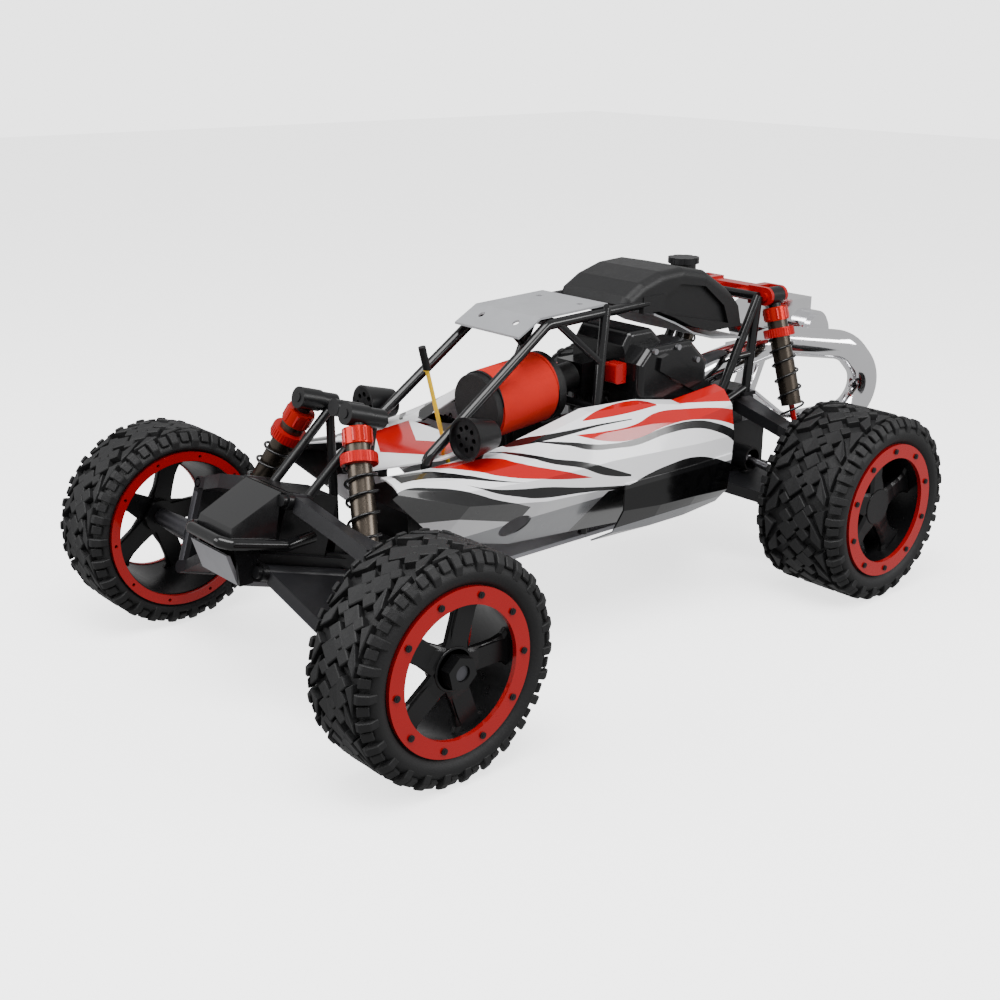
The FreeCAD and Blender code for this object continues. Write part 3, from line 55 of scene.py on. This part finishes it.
# ---------------------------------------------------------------- node materials
class Paint:
    """A principled material whose colour, roughness and metal are mixed by masks."""

    def __init__(self, name, colour, rough, metal=0.0, grain=0.0, grain_scale=900.0, coat=0.0, mottle=0.12):
        self.material = bpy.data.materials.new(name)
        self.material.use_nodes = True
        self.nodes = self.material.node_tree.nodes
        self.links = self.material.node_tree.links
        self.shader = self.nodes["Principled BSDF"]
        self.shader.inputs["Coat Weight"].default_value = coat
        self.shader.inputs["Coat Roughness"].default_value = 0.08
        self.shader.inputs["Specular IOR Level"].default_value = 0.32
        self.coords = self.nodes.new("ShaderNodeTexCoord").outputs["Object"]
        self.split = self.nodes.new("ShaderNodeSeparateXYZ")
        self.links.new(self.coords, self.split.inputs[0])
        self.colour = self.rgb(colour)
        self.rough = self.value(rough)
        self.metal = self.value(metal)
        self.grain, self.grain_scale, self.mottle = grain, grain_scale, mottle

    def rgb(self, colour):
        node = self.nodes.new("ShaderNodeRGB")
        node.outputs[0].default_value = (*colour, 1.0)
        return node.outputs[0]

    def value(self, number):
        node = self.nodes.new("ShaderNodeValue")
        node.outputs[0].default_value = number
        return node.outputs[0]

    def math(self, operation, a, b=None, c=None):
        node = self.nodes.new("ShaderNodeMath")
        node.operation = operation
        for socket, value in zip(node.inputs, (a, b, c)):
            if value is None:
                continue
            if isinstance(value, (int, float)):
                socket.default_value = value
            else:
                self.links.new(value, socket)
        return node.outputs[0]

    def axis(self, name):
        return self.split.outputs[name]

    def above(self, a, b):
        return self.math("GREATER_THAN", a, b)

    def between(self, a, low, high):
        return self.math("MULTIPLY", self.above(a, low), self.math("LESS_THAN", a, high))

    def both(self, a, b):
        return self.math("MULTIPLY", a, b)

    def noise(self, scale, detail=3.0):
        node = self.nodes.new("ShaderNodeTexNoise")
        node.inputs["Scale"].default_value = scale
        node.inputs["Detail"].default_value = detail
        self.links.new(self.coords, node.inputs["Vector"])
        return node.outputs["Fac"]

    def mix(self, kind, mask, a, b):
        node = self.nodes.new("ShaderNodeMix")
        node.data_type = kind
        index = 6 if kind == "RGBA" else 2
        self.links.new(mask, node.inputs[0])
        self.links.new(a, node.inputs[index])
        self.links.new(b, node.inputs[index + 1])
        return node.outputs[2 if kind == "RGBA" else 0]

    def layer(self, mask, colour, rough=None, metal=None):
        self.colour = self.mix("RGBA", mask, self.colour, self.rgb(colour))
        if rough is not None:
            self.rough = self.mix("FLOAT", mask, self.rough, self.value(rough))
        if metal is not None:
            self.metal = self.mix("FLOAT", mask, self.metal, self.value(metal))
        return self

    def done(self):
        wear = self.noise(38.0, 5.0)
        shade = self.math("MULTIPLY_ADD", wear, self.mottle * 2, 1.0 - self.mottle)
        scale = self.nodes.new("ShaderNodeVectorMath")
        scale.operation = "SCALE"
        self.links.new(self.colour, scale.inputs[0])
        self.links.new(shade, scale.inputs["Scale"])
        self.links.new(scale.outputs[0], self.shader.inputs["Base Color"])
        rough = self.math("MULTIPLY_ADD", self.noise(150.0), 0.14, -0.07)
        self.links.new(self.math("ADD", self.rough, rough), self.shader.inputs["Roughness"])
        self.links.new(self.metal, self.shader.inputs["Metallic"])
        if self.grain:
            bump = self.nodes.new("ShaderNodeBump")
            bump.inputs["Strength"].default_value = self.grain
            bump.inputs["Distance"].default_value = 0.0006
            self.links.new(self.noise(self.grain_scale, 6.0), bump.inputs["Height"])
            self.links.new(bump.outputs[0], self.shader.inputs["Normal"])
        return self.material


BLACK = (0.005, 0.005, 0.0055)
RED = (0.40, 0.0015, 0.002)
WHITE = (0.80, 0.80, 0.82)

MATTE = Paint("nylon_matte", (0.008, 0.008, 0.009), 0.42, grain=0.25).done()
GLOSS = Paint("gloss_black", BLACK, 0.2, coat=0.25).done()
SATIN = Paint("satin_black", (0.006, 0.006, 0.0065), 0.3, grain=0.12).done()
ARM = Paint("arm_nylon", (0.011, 0.011, 0.0125), 0.34, grain=0.2).done()
STEEL = Paint("turned_steel", (0.42, 0.42, 0.44), 0.3, 1.0, grain=0.1).done()
ALLOY = Paint("upright_alloy", (0.09, 0.09, 0.1), 0.4, 0.6, grain=0.1).done()
CHROME = Paint("chrome", (0.86, 0.86, 0.88), 0.1, 1.0, mottle=0.04).done()
RUBBER = Paint("tyre_rubber", (0.0085, 0.0085, 0.009), 0.6, grain=0.5, grain_scale=600.0).done()
ANODISED = Paint("anodised_red", RED, 0.28, 0.25, coat=0.4, mottle=0.06).done()
PLATE = Paint("plate_grey", (0.33, 0.33, 0.35), 0.36, 0.75, grain=0.1).done()
ROOF = Paint("roof_grey", (0.34, 0.345, 0.36), 0.42, 0.35, grain=0.08).done()
TANK = Paint("tank_black", (0.007, 0.007, 0.0075), 0.42, grain=0.35, grain_scale=1400.0).done()
DARK = Paint("bolt_dark", (0.03, 0.03, 0.032), 0.35, 0.8).done()


def assign(objects, material):
    for o in objects:
        o.data.materials.clear()
        o.data.materials.append(material)


def node(name):
    return frame["nodes"][name]


# ---------------------------------------------------------------- mesh helpers
def make(name, verts, faces, material, smooth=False):
    mesh = bpy.data.meshes.new(name)
    mesh.from_pydata([tuple(v) for v in verts], [], faces)
    mesh.materials.append(material)
    mesh.update()
    for polygon in mesh.polygons:
        polygon.use_smooth = smooth
    out = bpy.data.objects.new(name, mesh)
    bpy.context.scene.collection.objects.link(out)
    return out


def circle(centre, across, other, radius, sides):
    """Points of a circle in the plane of two unit vectors."""
    turns = [2 * math.pi * i / sides for i in range(sides)]
    return [centre + across * radius * math.cos(a) + other * radius * math.sin(a) for a in turns]


class Builder:
    """Collects the vertices and faces of one mesh."""

    def __init__(self):
        self.verts, self.faces = [], []

    def loft(self, rings, closed=True, caps=True):
        base = len(self.verts)
        count = len(rings[0])
        for ring in rings:
            self.verts += [Vector(p) for p in ring]
        for i in range(len(rings) - 1):
            for j in range(count if closed else count - 1):
                a = base + i * count + j
                b = base + i * count + (j + 1) % count
                self.faces.append((a, b, b + count, a + count))
        if caps:
            self.faces.append(tuple(base + j for j in reversed(range(count))))
            self.faces.append(tuple(base + (len(rings) - 1) * count + j for j in range(count)))

    def cylinder(self, start, end, radius, sides=16, radius_end=None):
        start, end = Vector(start), Vector(end)
        along = (end - start).normalized()
        across = along.orthogonal().normalized()
        other = along.cross(across)
        far = radius if radius_end is None else radius_end
        self.loft([circle(start, across, other, radius, sides), circle(end, across, other, far, sides)])

    def tube(self, points, radius, sides=10):
        points = [Vector(p) for p in points]
        rings = []
        across = (points[1] - points[0]).orthogonal().normalized()
        for i, p in enumerate(points):
            along = (points[min(i + 1, len(points) - 1)] - points[max(i - 1, 0)]).normalized()
            across = (across - along * across.dot(along)).normalized()
            other = along.cross(across)
            rings.append(circle(p, across, other, radius, sides))
        self.loft(rings)

    def finish(self, name, material, smooth=False):
        return make(name, self.verts, self.faces, material, smooth)


def bevel(obj, width, segments=2):
    mod = obj.modifiers.new("edge", "BEVEL")
    mod.width = width
    mod.segments = segments
    mod.limit_method = "ANGLE"
    return obj


# ---------------------------------------------------------------- tyres
TREAD_DEPTH = 0.0072
BLOCK_SINK = 0.001            # how far a block's foot lies inside the carcass
TOP_GAP = 0.0004              # the blocks stay this far inside the tyre's full radius
PITCHES = 13                  # the pattern repeats this often round a tyre
CARCASS_STEPS = 120
BEVEL = 0.0007
START_ANGLE = {"front": -math.radians(17.0), "rear": 0.0}       # the front wheels follow the raised nose
DIAMONDS = [                  # share of the pitch, share of the width, half a diagonal
    (0.24, 0.105, 0.0112), (0.56, -0.075, 0.0112), (0.24, -0.095, 0.0078), (0.56, 0.115, 0.0078),
    (0.40, 0.012, 0.0062), (0.92, 0.03, 0.0098), (0.86, -0.135, 0.0066), (0.98, 0.165, 0.0062),
]
TRIANGLE = [(0.02, 0.235), (0.46, 0.345), (-0.12, 0.345)]
QUADRANGLE = [(0.20, 0.205), (0.62, 0.215), (0.80, 0.335), (0.60, 0.335)]


class Tread(Builder):
    """Blocks placed by their length along the tread, their offset across it and their radius."""

    def __init__(self, centre, radius, outward):
        super().__init__()
        self.centre, self.radius, self.outward = centre, radius, outward

    def at(self, s, y, r):
        a = s / self.radius
        x, z = self.centre.x + r * math.sin(a), self.centre.z + r * math.cos(a)
        return Vector((x, self.centre.y + self.outward * y, z))

    def block(self, points, top, bottom, flare=1.12):
        cs = sum(p[0] for p in points) / len(points)
        cy = sum(p[1] for p in points) / len(points)
        low = [self.at(cs + (s - cs) * flare, cy + (y - cy) * flare, bottom) for s, y in points]
        high = [self.at(s, y, top) for s, y in points]
        self.loft([low, high])

    def lug(self, s0, s1, profile):
        self.loft([[self.at(s, y, r) for y, r in profile] for s in (s0, (s0 + s1) / 2, s1)])


def carcass_line(half, base):
    """Section of the carcass from bead to bead, as offsets from the middle and radii."""
    return [
        (half - 0.0066, 0.0590), (half - 0.0066, 0.0680), (half - 0.0035, 0.0700), (half - 0.0012, 0.0740),
        (half - 0.0006, 0.0785), (half - 0.0030, base - 0.0040), (half - 0.0105, base), (0.0, base + 0.0008),
        (-half + 0.0105, base), (-half + 0.0030, base - 0.0040), (-half + 0.0008, 0.0795),
        (-half + 0.0022, 0.0772), (-half + 0.0066, 0.0752), (-half + 0.0066, 0.0690),
    ]


def shoulder(tread, start, pitch, sign, width, top, foot):
    """The slanted blocks and the long and short lugs of one side, over one pitch."""
    half = width / 2
    for shape, flare in ((TRIANGLE, 1.06), (QUADRANGLE, 1.05)):
        corners = [(start + along * pitch, sign * across * width) for along, across in shape]
        tread.block(corners[::sign], top, foot, flare)
    long_lug = [
        (0.375 * width, foot), (0.375 * width, top), (half - 0.0055, top - 0.0006),
        (half - 0.0003, top - 0.0075), (half - 0.0003, top - 0.0150), (half - 0.006, top - 0.0170),
    ]
    short_lug = [
        (0.392 * width, foot), (0.392 * width, top - 0.0012), (half - 0.0065, top - 0.0018),
        (half - 0.0016, top - 0.0085), (half - 0.0060, top - 0.0120),
    ]
    for lug_start in (start, start + 0.5 * pitch):
        for line, first, last in ((long_lug, 0.02, 0.19), (short_lug, 0.24, 0.42)):
            profile = [(sign * y, r) for y, r in line]
            tread.lug(lug_start + first * pitch, lug_start + last * pitch, profile)


def tyre(name, body):
    """A smooth carcass with open beads, and the tread blocks and shoulder lugs on it."""
    low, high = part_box(name)
    centre = (Vector(low) + Vector(high)) / 2
    width = high[1] - low[1]
    radius = (high[2] - low[2]) / 2
    base = radius - TREAD_DEPTH
    tread = Tread(centre, radius, 1.0 if centre.y > 0 else -1.0)
    line = carcass_line(width / 2, base)
    turns = [2 * math.pi * radius * i / CARCASS_STEPS for i in range(CARCASS_STEPS + 1)]
    carcass = Builder()
    carcass.loft([[tread.at(s, y, r) for y, r in line] for s in turns], closed=False, caps=False)
    pitch = 2 * math.pi * radius / PITCHES
    top, foot = radius - TOP_GAP, base - BLOCK_SINK
    for i in range(PITCHES):
        for along, across, size in DIAMONDS:
            s, y = (i + along) * pitch, across * width
            tread.block([(s - size, y), (s, y - size), (s + size, y), (s, y + size)], top, foot)
        for sign, shift in ((1, 0.0), (-1, 0.5)):
            shoulder(tread, (i + shift) * pitch, pitch, sign, width, top, foot)
    skin = carcass.finish(name + "_carcass", RUBBER, True)
    blocks = bevel(tread.finish(name + "_blocks", RUBBER), BEVEL, 1)
    for piece in (skin, blocks):
        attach(piece, body)
    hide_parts(name)


BOLTS = 10
BOLT_CIRCLE = 0.0605


def ring_bolts(corner, body):
    """The ten bolts that hold a bead ring."""
    low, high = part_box(corner + "_bead_rings")
    centre = (Vector(low) + Vector(high)) / 2
    outward = 1.0 if centre.y > 0 else -1.0
    face = high[1] if outward > 0 else low[1]
    bolts = Builder()
    for i in range(BOLTS):
        a = 2 * math.pi * i / BOLTS + START_ANGLE[corner.split("_")[0]]
        x, z = centre.x + BOLT_CIRCLE * math.sin(a), centre.z + BOLT_CIRCLE * math.cos(a)
        seat = Vector((x, face - outward * 0.002, z))
        for radius, height, sides in ((0.0027, 0.0035, 12), (0.0014, 0.0039, 6)):
            bolts.cylinder(seat, seat + Vector((0, outward * height, 0)), radius, sides)
    out = bolts.finish(corner + "_ring_bolts", DARK)
    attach(out, body)


SPOKES = 5
SPOKE_LINE = [                # radius, half the width, depth behind the hub's face
    (0.012, 0.0125, -0.0012), (0.020, 0.0112, -0.0006), (0.030, 0.0096, 0.0010),
    (0.042, 0.0096, 0.0012), (0.050, 0.0120, 0.0004), (0.0545, 0.0165, -0.0002),
]
SPOKE_EDGES = [(0.0, 0.0062), (0.0, 0.0022), (0.0035, 0.0)]     # inset from the side, depth
NUT_PROUD = 0.0118            # the wheel nut stands this far out of the spokes


def spokes(corner, body):
    """Broad dished spoke faces over the straight ribs of the rim, round a raised hub."""
    low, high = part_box(corner + "_tyre")
    rim_low, rim_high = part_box(corner + "_rim")
    centre = (Vector(low) + Vector(high)) / 2
    outward = 1.0 if centre.y > 0 else -1.0
    nut_end = rim_high[1] if outward > 0 else rim_low[1]
    face = nut_end - outward * NUT_PROUD
    inward = Vector((0, -outward, 0))
    built = Builder()
    for i in range(SPOKES):
        a = 2 * math.pi * i / SPOKES + START_ANGLE[corner.split("_")[0]]
        out, way = Vector((math.sin(a), 0, math.cos(a))), Vector((math.cos(a), 0, -math.sin(a)))
        rings = []
        for r, half, drop in SPOKE_LINE:
            middle = Vector((centre.x, face - outward * drop, centre.z)) + out * r
            edge = [middle - way * (half - inset) + inward * depth for inset, depth in SPOKE_EDGES]
            back = reversed(SPOKE_EDGES)
            edge += [middle + way * (half - inset) + inward * depth for inset, depth in back]
            rings.append(edge)
        built.loft(rings)
    hub_back = (centre.x, face - outward * 0.006, centre.z)
    hub_front = (centre.x, face + outward * 0.0018, centre.z)
    built.cylinder(hub_back, hub_front, 0.0200, 40, 0.0178)
    piece = bevel(built.finish(corner + "_spokes", SATIN), 0.0006, 2)
    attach(piece, body)


for end, side in CORNERS:
    corner = end + "_" + side
    spokes(corner, corner + "_wheel")
    tyre(corner + "_tyre", corner + "_wheel")
    ring_bolts(corner, corner + "_wheel")


# ---------------------------------------------------------------- shocks
def joint(name):
    """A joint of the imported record."""
    return next(j for j in frame["record"]["behaviour"]["joints"] if j["name"] == name)


# Distances along a shock from its top eye.
CAP_FROM, CAP_TO = 0.0118, 0.0262
COLLAR_FROM, COLLAR_TO = 0.0338, 0.0432
COIL_FROM = 0.0430
COIL_EASE = 0.035             # the end turns lie closer together
COIL_RADIUS = {"front": 0.0145, "rear": 0.0136}                 # the rear coil clears its upper arm
COIL_TURNS = {"front": 6.5, "rear": 8.0}
STEPS_A_TURN = 28
WIRE = 0.00125
KNURL = [                     # ribs, circle, from, to, radius, sides
    (36, 0.0153, 0.0346, 0.0424, 0.0007, 5),
    (8, 0.0117, 0.0135, 0.0245, 0.0017, 6),
]


def shock_paint(corner, top, axis):
    """Bronze body with a red cap and a red spring collar."""
    paint = Paint(corner + "_shock", (0.075, 0.062, 0.05), 0.28, 0.9)
    dot = paint.nodes.new("ShaderNodeVectorMath")
    dot.operation = "DOT_PRODUCT"
    paint.links.new(paint.coords, dot.inputs[0])
    dot.inputs[1].default_value = axis
    d = paint.math("SUBTRACT", dot.outputs["Value"], top.dot(axis))
    paint.layer(paint.math("LESS_THAN", d, CAP_FROM), BLACK, 0.35, 0.0)
    paint.layer(paint.between(d, CAP_FROM, CAP_TO), (0.46, 0.008, 0.002), 0.2, 0.5)
    paint.layer(paint.between(d, COLLAR_FROM, COLLAR_TO), (0.46, 0.004, 0.003), 0.3, 0.4)
    return paint.done()


def coil_points(top, axis, across, other, length, end):
    """Centre line of a coil spring whose end turns close up."""
    steps = int(COIL_TURNS[end] * STEPS_A_TURN)
    reach = COIL_RADIUS[end] - WIRE
    points = []
    for i in range(steps + 1):
        t = i / steps
        a = 2 * math.pi * COIL_TURNS[end] * t
        ease = t - COIL_EASE * math.sin(2 * math.pi * t)
        depth = COIL_FROM + WIRE + (length - 2 * WIRE) * ease
        points.append(top + axis * depth + (across * math.cos(a) + other * math.sin(a)) * reach)
    return points


def shock(end, side):
    """Paint, coil and knurling of one shock absorber."""
    corner = end + "_" + side
    top = Vector(joint(corner + "_damper_pivot")["pos_m"])
    slide = joint(corner + "_damper_slide")
    axis = Vector(slide["axis"]).normalized()
    assign([node(corner + "_shock_body")], shock_paint(corner, top, axis))
    assign([node(corner + "_shock_rod")], STEEL if end == "front" else ANODISED)
    low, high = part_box(corner + "_shock_spring")
    middle = (Vector(low) + Vector(high)) / 2
    length = 2 * ((middle - top).dot(axis) - COIL_FROM)
    across = Vector((1, 0, 0)) - axis * axis.x
    across.normalize()
    other = axis.cross(across)
    coil = Builder()
    coil.tube(coil_points(top, axis, across, other, length, end), WIRE, 8)
    out = coil.finish(corner + "_coil", GLOSS, True)
    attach(out, corner + "_damper")
    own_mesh(out)
    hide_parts(corner + "_shock_spring")
    knurl = Builder()
    for count, radius, start, stop, rib, sides in KNURL:
        for at in circle(top, across, other, radius, count):
            knurl.cylinder(at + axis * start, at + axis * stop, rib, sides)
    ribs = knurl.finish(corner + "_knurl", ANODISED)
    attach(ribs, corner + "_damper")


for end, side in CORNERS:
    shock(end, side)


# ---------------------------------------------------------------- plain node finishes
for end, side in CORNERS:
    corner = end + "_" + side
    assign([node(corner + "_lower_arm"), node(corner + "_upper_arm"), node(corner + "_hub_carrier")], ARM)
    assign([node(corner + "_rim")], SATIN)
    assign([node(corner + "_bead_rings")], ANODISED)
for side in ("left", "right"):
    assign([node("front_" + side + "_knuckle")], ALLOY)
    assign([node("front_" + side + "_tie_rod"), node("rear_" + side + "_driveshaft")], STEEL)
PLAIN = {
    "chassis_plate": PLATE, "front_bulkhead": SATIN, "steering_rack": STEEL, "front_bumper": GLOSS,
    "roll_cage": GLOSS, "roof_plate": ROOF, "headlights": SATIN, "engine": GLOSS, "pull_handle": MATTE,
    "kill_switch": ANODISED, "fuel_tank": TANK,
    "fuel_cap": MATTE, "exhaust": CHROME, "gearbox": MATTE, "rear_brace": ANODISED,
}
for name, material in PLAIN.items():
    assign([node(name)], material)


# ---------------------------------------------------------------- air filter and aerial
low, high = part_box("air_filter")
foam = Paint("foam_filter", (0.50, 0.010, 0.003), 0.85, grain=1.0, grain_scale=1500.0)
x = foam.axis("X")
foam.layer(foam.above(x, high[0] - 0.0095), BLACK, 0.4)
foam.layer(foam.math("LESS_THAN", x, low[0] + 0.0455), BLACK, 0.35)
assign([node("air_filter")], foam.done())

low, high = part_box("radio_box")
radio = Paint("radio_box", BLACK, 0.35, grain=0.1)
z = radio.axis("Z")
radio.layer(radio.between(z, low[2] + 0.072, high[2] - 0.022), (0.80, 0.50, 0.02), 0.35)
assign([node("radio_box")], radio.done())


# ---------------------------------------------------------------- body panels
# A point on the side shells is placed by x and by girth, its height less half its distance from the middle.
LINE_FROM, LINE_SPAN = -0.14, 0.42
GIRTH_LOW, GIRTH_SPAN = 0.05, 0.15


def drawn_line(paint, x, points):
    """Girth of a smooth line through given (x, girth) points in millimetres."""
    line = paint.nodes.new("ShaderNodeFloatCurve")
    curve = line.mapping.curves[0]
    spots = []
    for px, girth in sorted(points):
        spots.append(((px / 1000 - LINE_FROM) / LINE_SPAN, (girth / 1000 - GIRTH_LOW) / GIRTH_SPAN))
    curve.points[0].location = spots[0]
    curve.points[1].location = spots[-1]
    for across_share, girth_share in spots[1:-1]:
        curve.points.new(across_share, girth_share)
    line.mapping.update()
    share = paint.math("MULTIPLY_ADD", x, 1 / LINE_SPAN, -LINE_FROM / LINE_SPAN)
    paint.links.new(share, line.inputs["Value"])
    return paint.math("MULTIPLY_ADD", line.outputs[0], GIRTH_SPAN, GIRTH_LOW)


def flame(paint, x, girth, top, bottom, colour, rough=None, metal=None):
    """Fills the space between two drawn lines that share their end points."""
    ends = [px / 1000 for px, _ in top]
    under = paint.math("LESS_THAN", girth, drawn_line(paint, x, top))
    over = paint.above(girth, drawn_line(paint, x, bottom))
    filled = paint.both(paint.both(under, over), paint.between(x, min(ends), max(ends)))
    paint.layer(filled, colour, rough, metal)


def painted_panels():
    low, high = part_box("body_panels")
    paint = Paint("painted_panels", WHITE, 0.2, coat=0.6, mottle=0.03)
    x, y, z = paint.axis("X"), paint.axis("Y"), paint.axis("Z")
    across = paint.math("ABSOLUTE", y)
    girth = paint.math("MULTIPLY_ADD", across, -0.5, z)
    flame(paint, x, girth,
          [(262, 138), (249, 140.5), (226, 135.5), (209, 129.5), (188, 119), (167, 108), (130, 94)],
          [(262, 118), (130, 84)], BLACK, 0.3)
    flame(paint, x, girth,
          [(250, 157), (242, 156.5), (218, 154.5), (199, 147.5), (184, 138), (165, 128), (137, 117)],
          [(250, 147), (230, 146.5), (207, 142), (187, 134.5), (167, 126.5), (137, 117)], BLACK)
    flame(paint, x, girth, [(193, 130), (170, 119), (140, 112), (119, 108.5), (71, 97.5), (21, 88.5)],
          [(193, 130), (171, 116), (146, 106), (125, 99.5), (77, 93.5), (21, 86)], BLACK)
    flame(paint, x, girth, [(200, 157), (175, 156), (143, 148), (133, 138), (100, 121), (63, 105)],
          [(200, 156), (179, 143.5), (159, 130.5), (118, 116), (63, 105)], RED)
    flame(paint, x, girth, [(140, 158), (121, 148), (103, 135), (73, 123.5), (47, 111.5), (16, 98)],
          [(140, 157), (125, 145), (105, 130), (75, 117), (47, 103.5), (16, 96)], BLACK)
    flame(paint, x, girth, [(120, 162), (99, 163), (88, 160), (66, 157.5), (41, 156), (-2, 153)],
          [(120, 158), (108, 155), (92, 153.5), (69, 153), (43, 153.5), (-2, 152)], BLACK)
    flame(paint, x, girth, [(64, 151), (37, 147), (0, 146), (-34, 153), (-68, 150.5), (-136, 134)],
          [(64, 151), (36, 136), (6, 131.5), (-41, 137), (-74, 136), (-136, 117)], RED)
    flame(paint, x, girth,
          [(102, 157), (75, 145.5), (53, 137), (37, 133.5), (7, 131.5), (-40, 136), (-74, 135),
           (-106, 125.5), (-136, 110)],
          [(102, 156), (78, 142), (54, 131), (27, 127), (8, 125), (-38, 128.5), (-72, 127),
           (-105, 116.5), (-136, 97)], BLACK)
    flame(paint, x, girth, [(48, 164), (23, 171), (-22, 172), (-40, 162)],
          [(48, 163), (10, 160), (-40, 160.5)], RED)
    flame(paint, x, girth, [(-72, 175), (-136, 180)], [(-72, 157), (-136, 144)], RED)
    silver = paint.both(paint.math("LESS_THAN", girth, 0.0845), paint.above(across, 0.06))
    paint.layer(silver, (0.30, 0.305, 0.32), 0.30, 0.75)
    flame(paint, x, girth, [(42, 88), (18, 88.5), (-6, 93.5), (-33, 97), (-67, 98), (-116, 85), (-136, 76)],
          [(42, 20), (-136, 20)], BLACK, 0.16)
    deck = paint.math("LESS_THAN", across, 0.05)
    along = paint.math("MULTIPLY_ADD", across, 0.6, x)
    chevron = paint.between(along, low[0] + 0.30, low[0] + 0.34)
    paint.layer(paint.both(paint.both(deck, paint.between(z, 0.180, 0.2)), chevron), RED)
    nose_start = low[0] + 0.405
    paint.layer(paint.above(x, nose_start), BLACK, 0.24)
    assign([node("body_panels")], paint.done())


painted_panels()


# ---------------------------------------------------------------- small fittings on the chassis
def on_chassis(piece):
    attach(piece, "chassis")


kill_low, kill_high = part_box("kill_switch")
panel_low, panel_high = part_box("body_panels")

clips = Builder()
for sign in (1, -1):
    anchor = Vector((panel_low[0] + 0.172, sign * (panel_high[1] - 0.0085), 0.1665))
    loop = []
    for i in range(25):
        t = i / 24
        loop.append(anchor + Vector((0.014 * (t - 0.5), sign * 0.0022, 0.0035 * math.sin(4 * math.pi * t))))
    clips.tube(loop, 0.0008, 6)
    clips.cylinder(anchor - Vector((0, sign * 0.004, 0)), anchor + Vector((0, sign * 0.004, 0)), 0.0024, 12)
on_chassis(clips.finish("body_clips", DARK, True))

cowl = Builder()
for dx, dz in ((-0.018, 0.010), (-0.050, 0.010), (-0.078, -0.006)):
    p = Vector((kill_low[0] + dx, kill_high[1] + 0.0125, kill_high[2] + dz))
    cowl.cylinder(p, p + Vector((0, 0.0035, 0)), 0.0028, 12)
on_chassis(cowl.finish("cowl_screws", STEEL))


# ---------------------------------------------------------------- stage, light and camera
FLOOR_GLOW = 2.0
WORLD_LIGHT = 0.6
WORLD_SEEN = 3.0

pale = Paint("pale_floor", (0.93, 0.93, 0.935), 0.6, mottle=0.01)
pale.shader.inputs["Emission Color"].default_value = (1.0, 1.0, 1.0, 1.0)
pale.shader.inputs["Emission Strength"].default_value = FLOOR_GLOW
floor = make("floor", [(-6, -6, 0), (6, -6, 0), (6, 6, 0), (-6, 6, 0)], [(0, 1, 2, 3)], pale.done())
floor.visible_diffuse = False
floor.visible_glossy = False

world = bpy.data.worlds.new("studio")
bpy.context.scene.world = world
world.use_nodes = True
backdrop = world.node_tree.nodes["Background"]
backdrop.inputs["Color"].default_value = (1.0, 1.0, 1.0, 1.0)
seen = world.node_tree.nodes.new("ShaderNodeLightPath")
# The wall behind is seen brighter than the soft light that it gives.
strength = world.node_tree.nodes.new("ShaderNodeMapRange")
strength.inputs["To Min"].default_value = WORLD_LIGHT
strength.inputs["To Max"].default_value = WORLD_SEEN
world.node_tree.links.new(seen.outputs["Is Camera Ray"], strength.inputs["Value"])
world.node_tree.links.new(strength.outputs["Result"], backdrop.inputs["Strength"])


def lamp(name, place, target, size, power):
    light = bpy.data.lights.new(name, "AREA")
    light.shape = "RECTANGLE"
    light.size, light.size_y = size
    light.energy = power
    obj = bpy.data.objects.new(name, light)
    obj.location = place
    obj.rotation_euler = (Vector(target) - Vector(place)).to_track_quat("-Z", "Y").to_euler()
    bpy.context.scene.collection.objects.link(obj)


lamp("key", (0.6, 0.5, 2.0), (0, 0, 0.1), (1.8, 1.2), 62)
lamp("fill", (1.6, -0.6, 1.0), (0, 0, 0.15), (1.2, 1.0), 20)
lamp("side", (-0.9, 1.7, 1.1), (0, 0, 0.15), (1.4, 0.6), 26)

camera_data = bpy.data.cameras.new("camera")
camera_data.lens = 50.92
camera_data.sensor_width = 36.0
camera = bpy.data.objects.new("camera", camera_data)
bpy.context.scene.collection.objects.link(camera)
right, up, back = (-0.7538, 0.6571, 0.0081), (-0.2038, -0.2455, 0.9477), (0.6247, 0.7128, 0.3190)
turn = Matrix((right, up, back)).transposed().to_4x4()
turn.translation = (0.91795, 0.9662, 0.5461)
camera.matrix_world = turn
bpy.context.scene.camera = camera
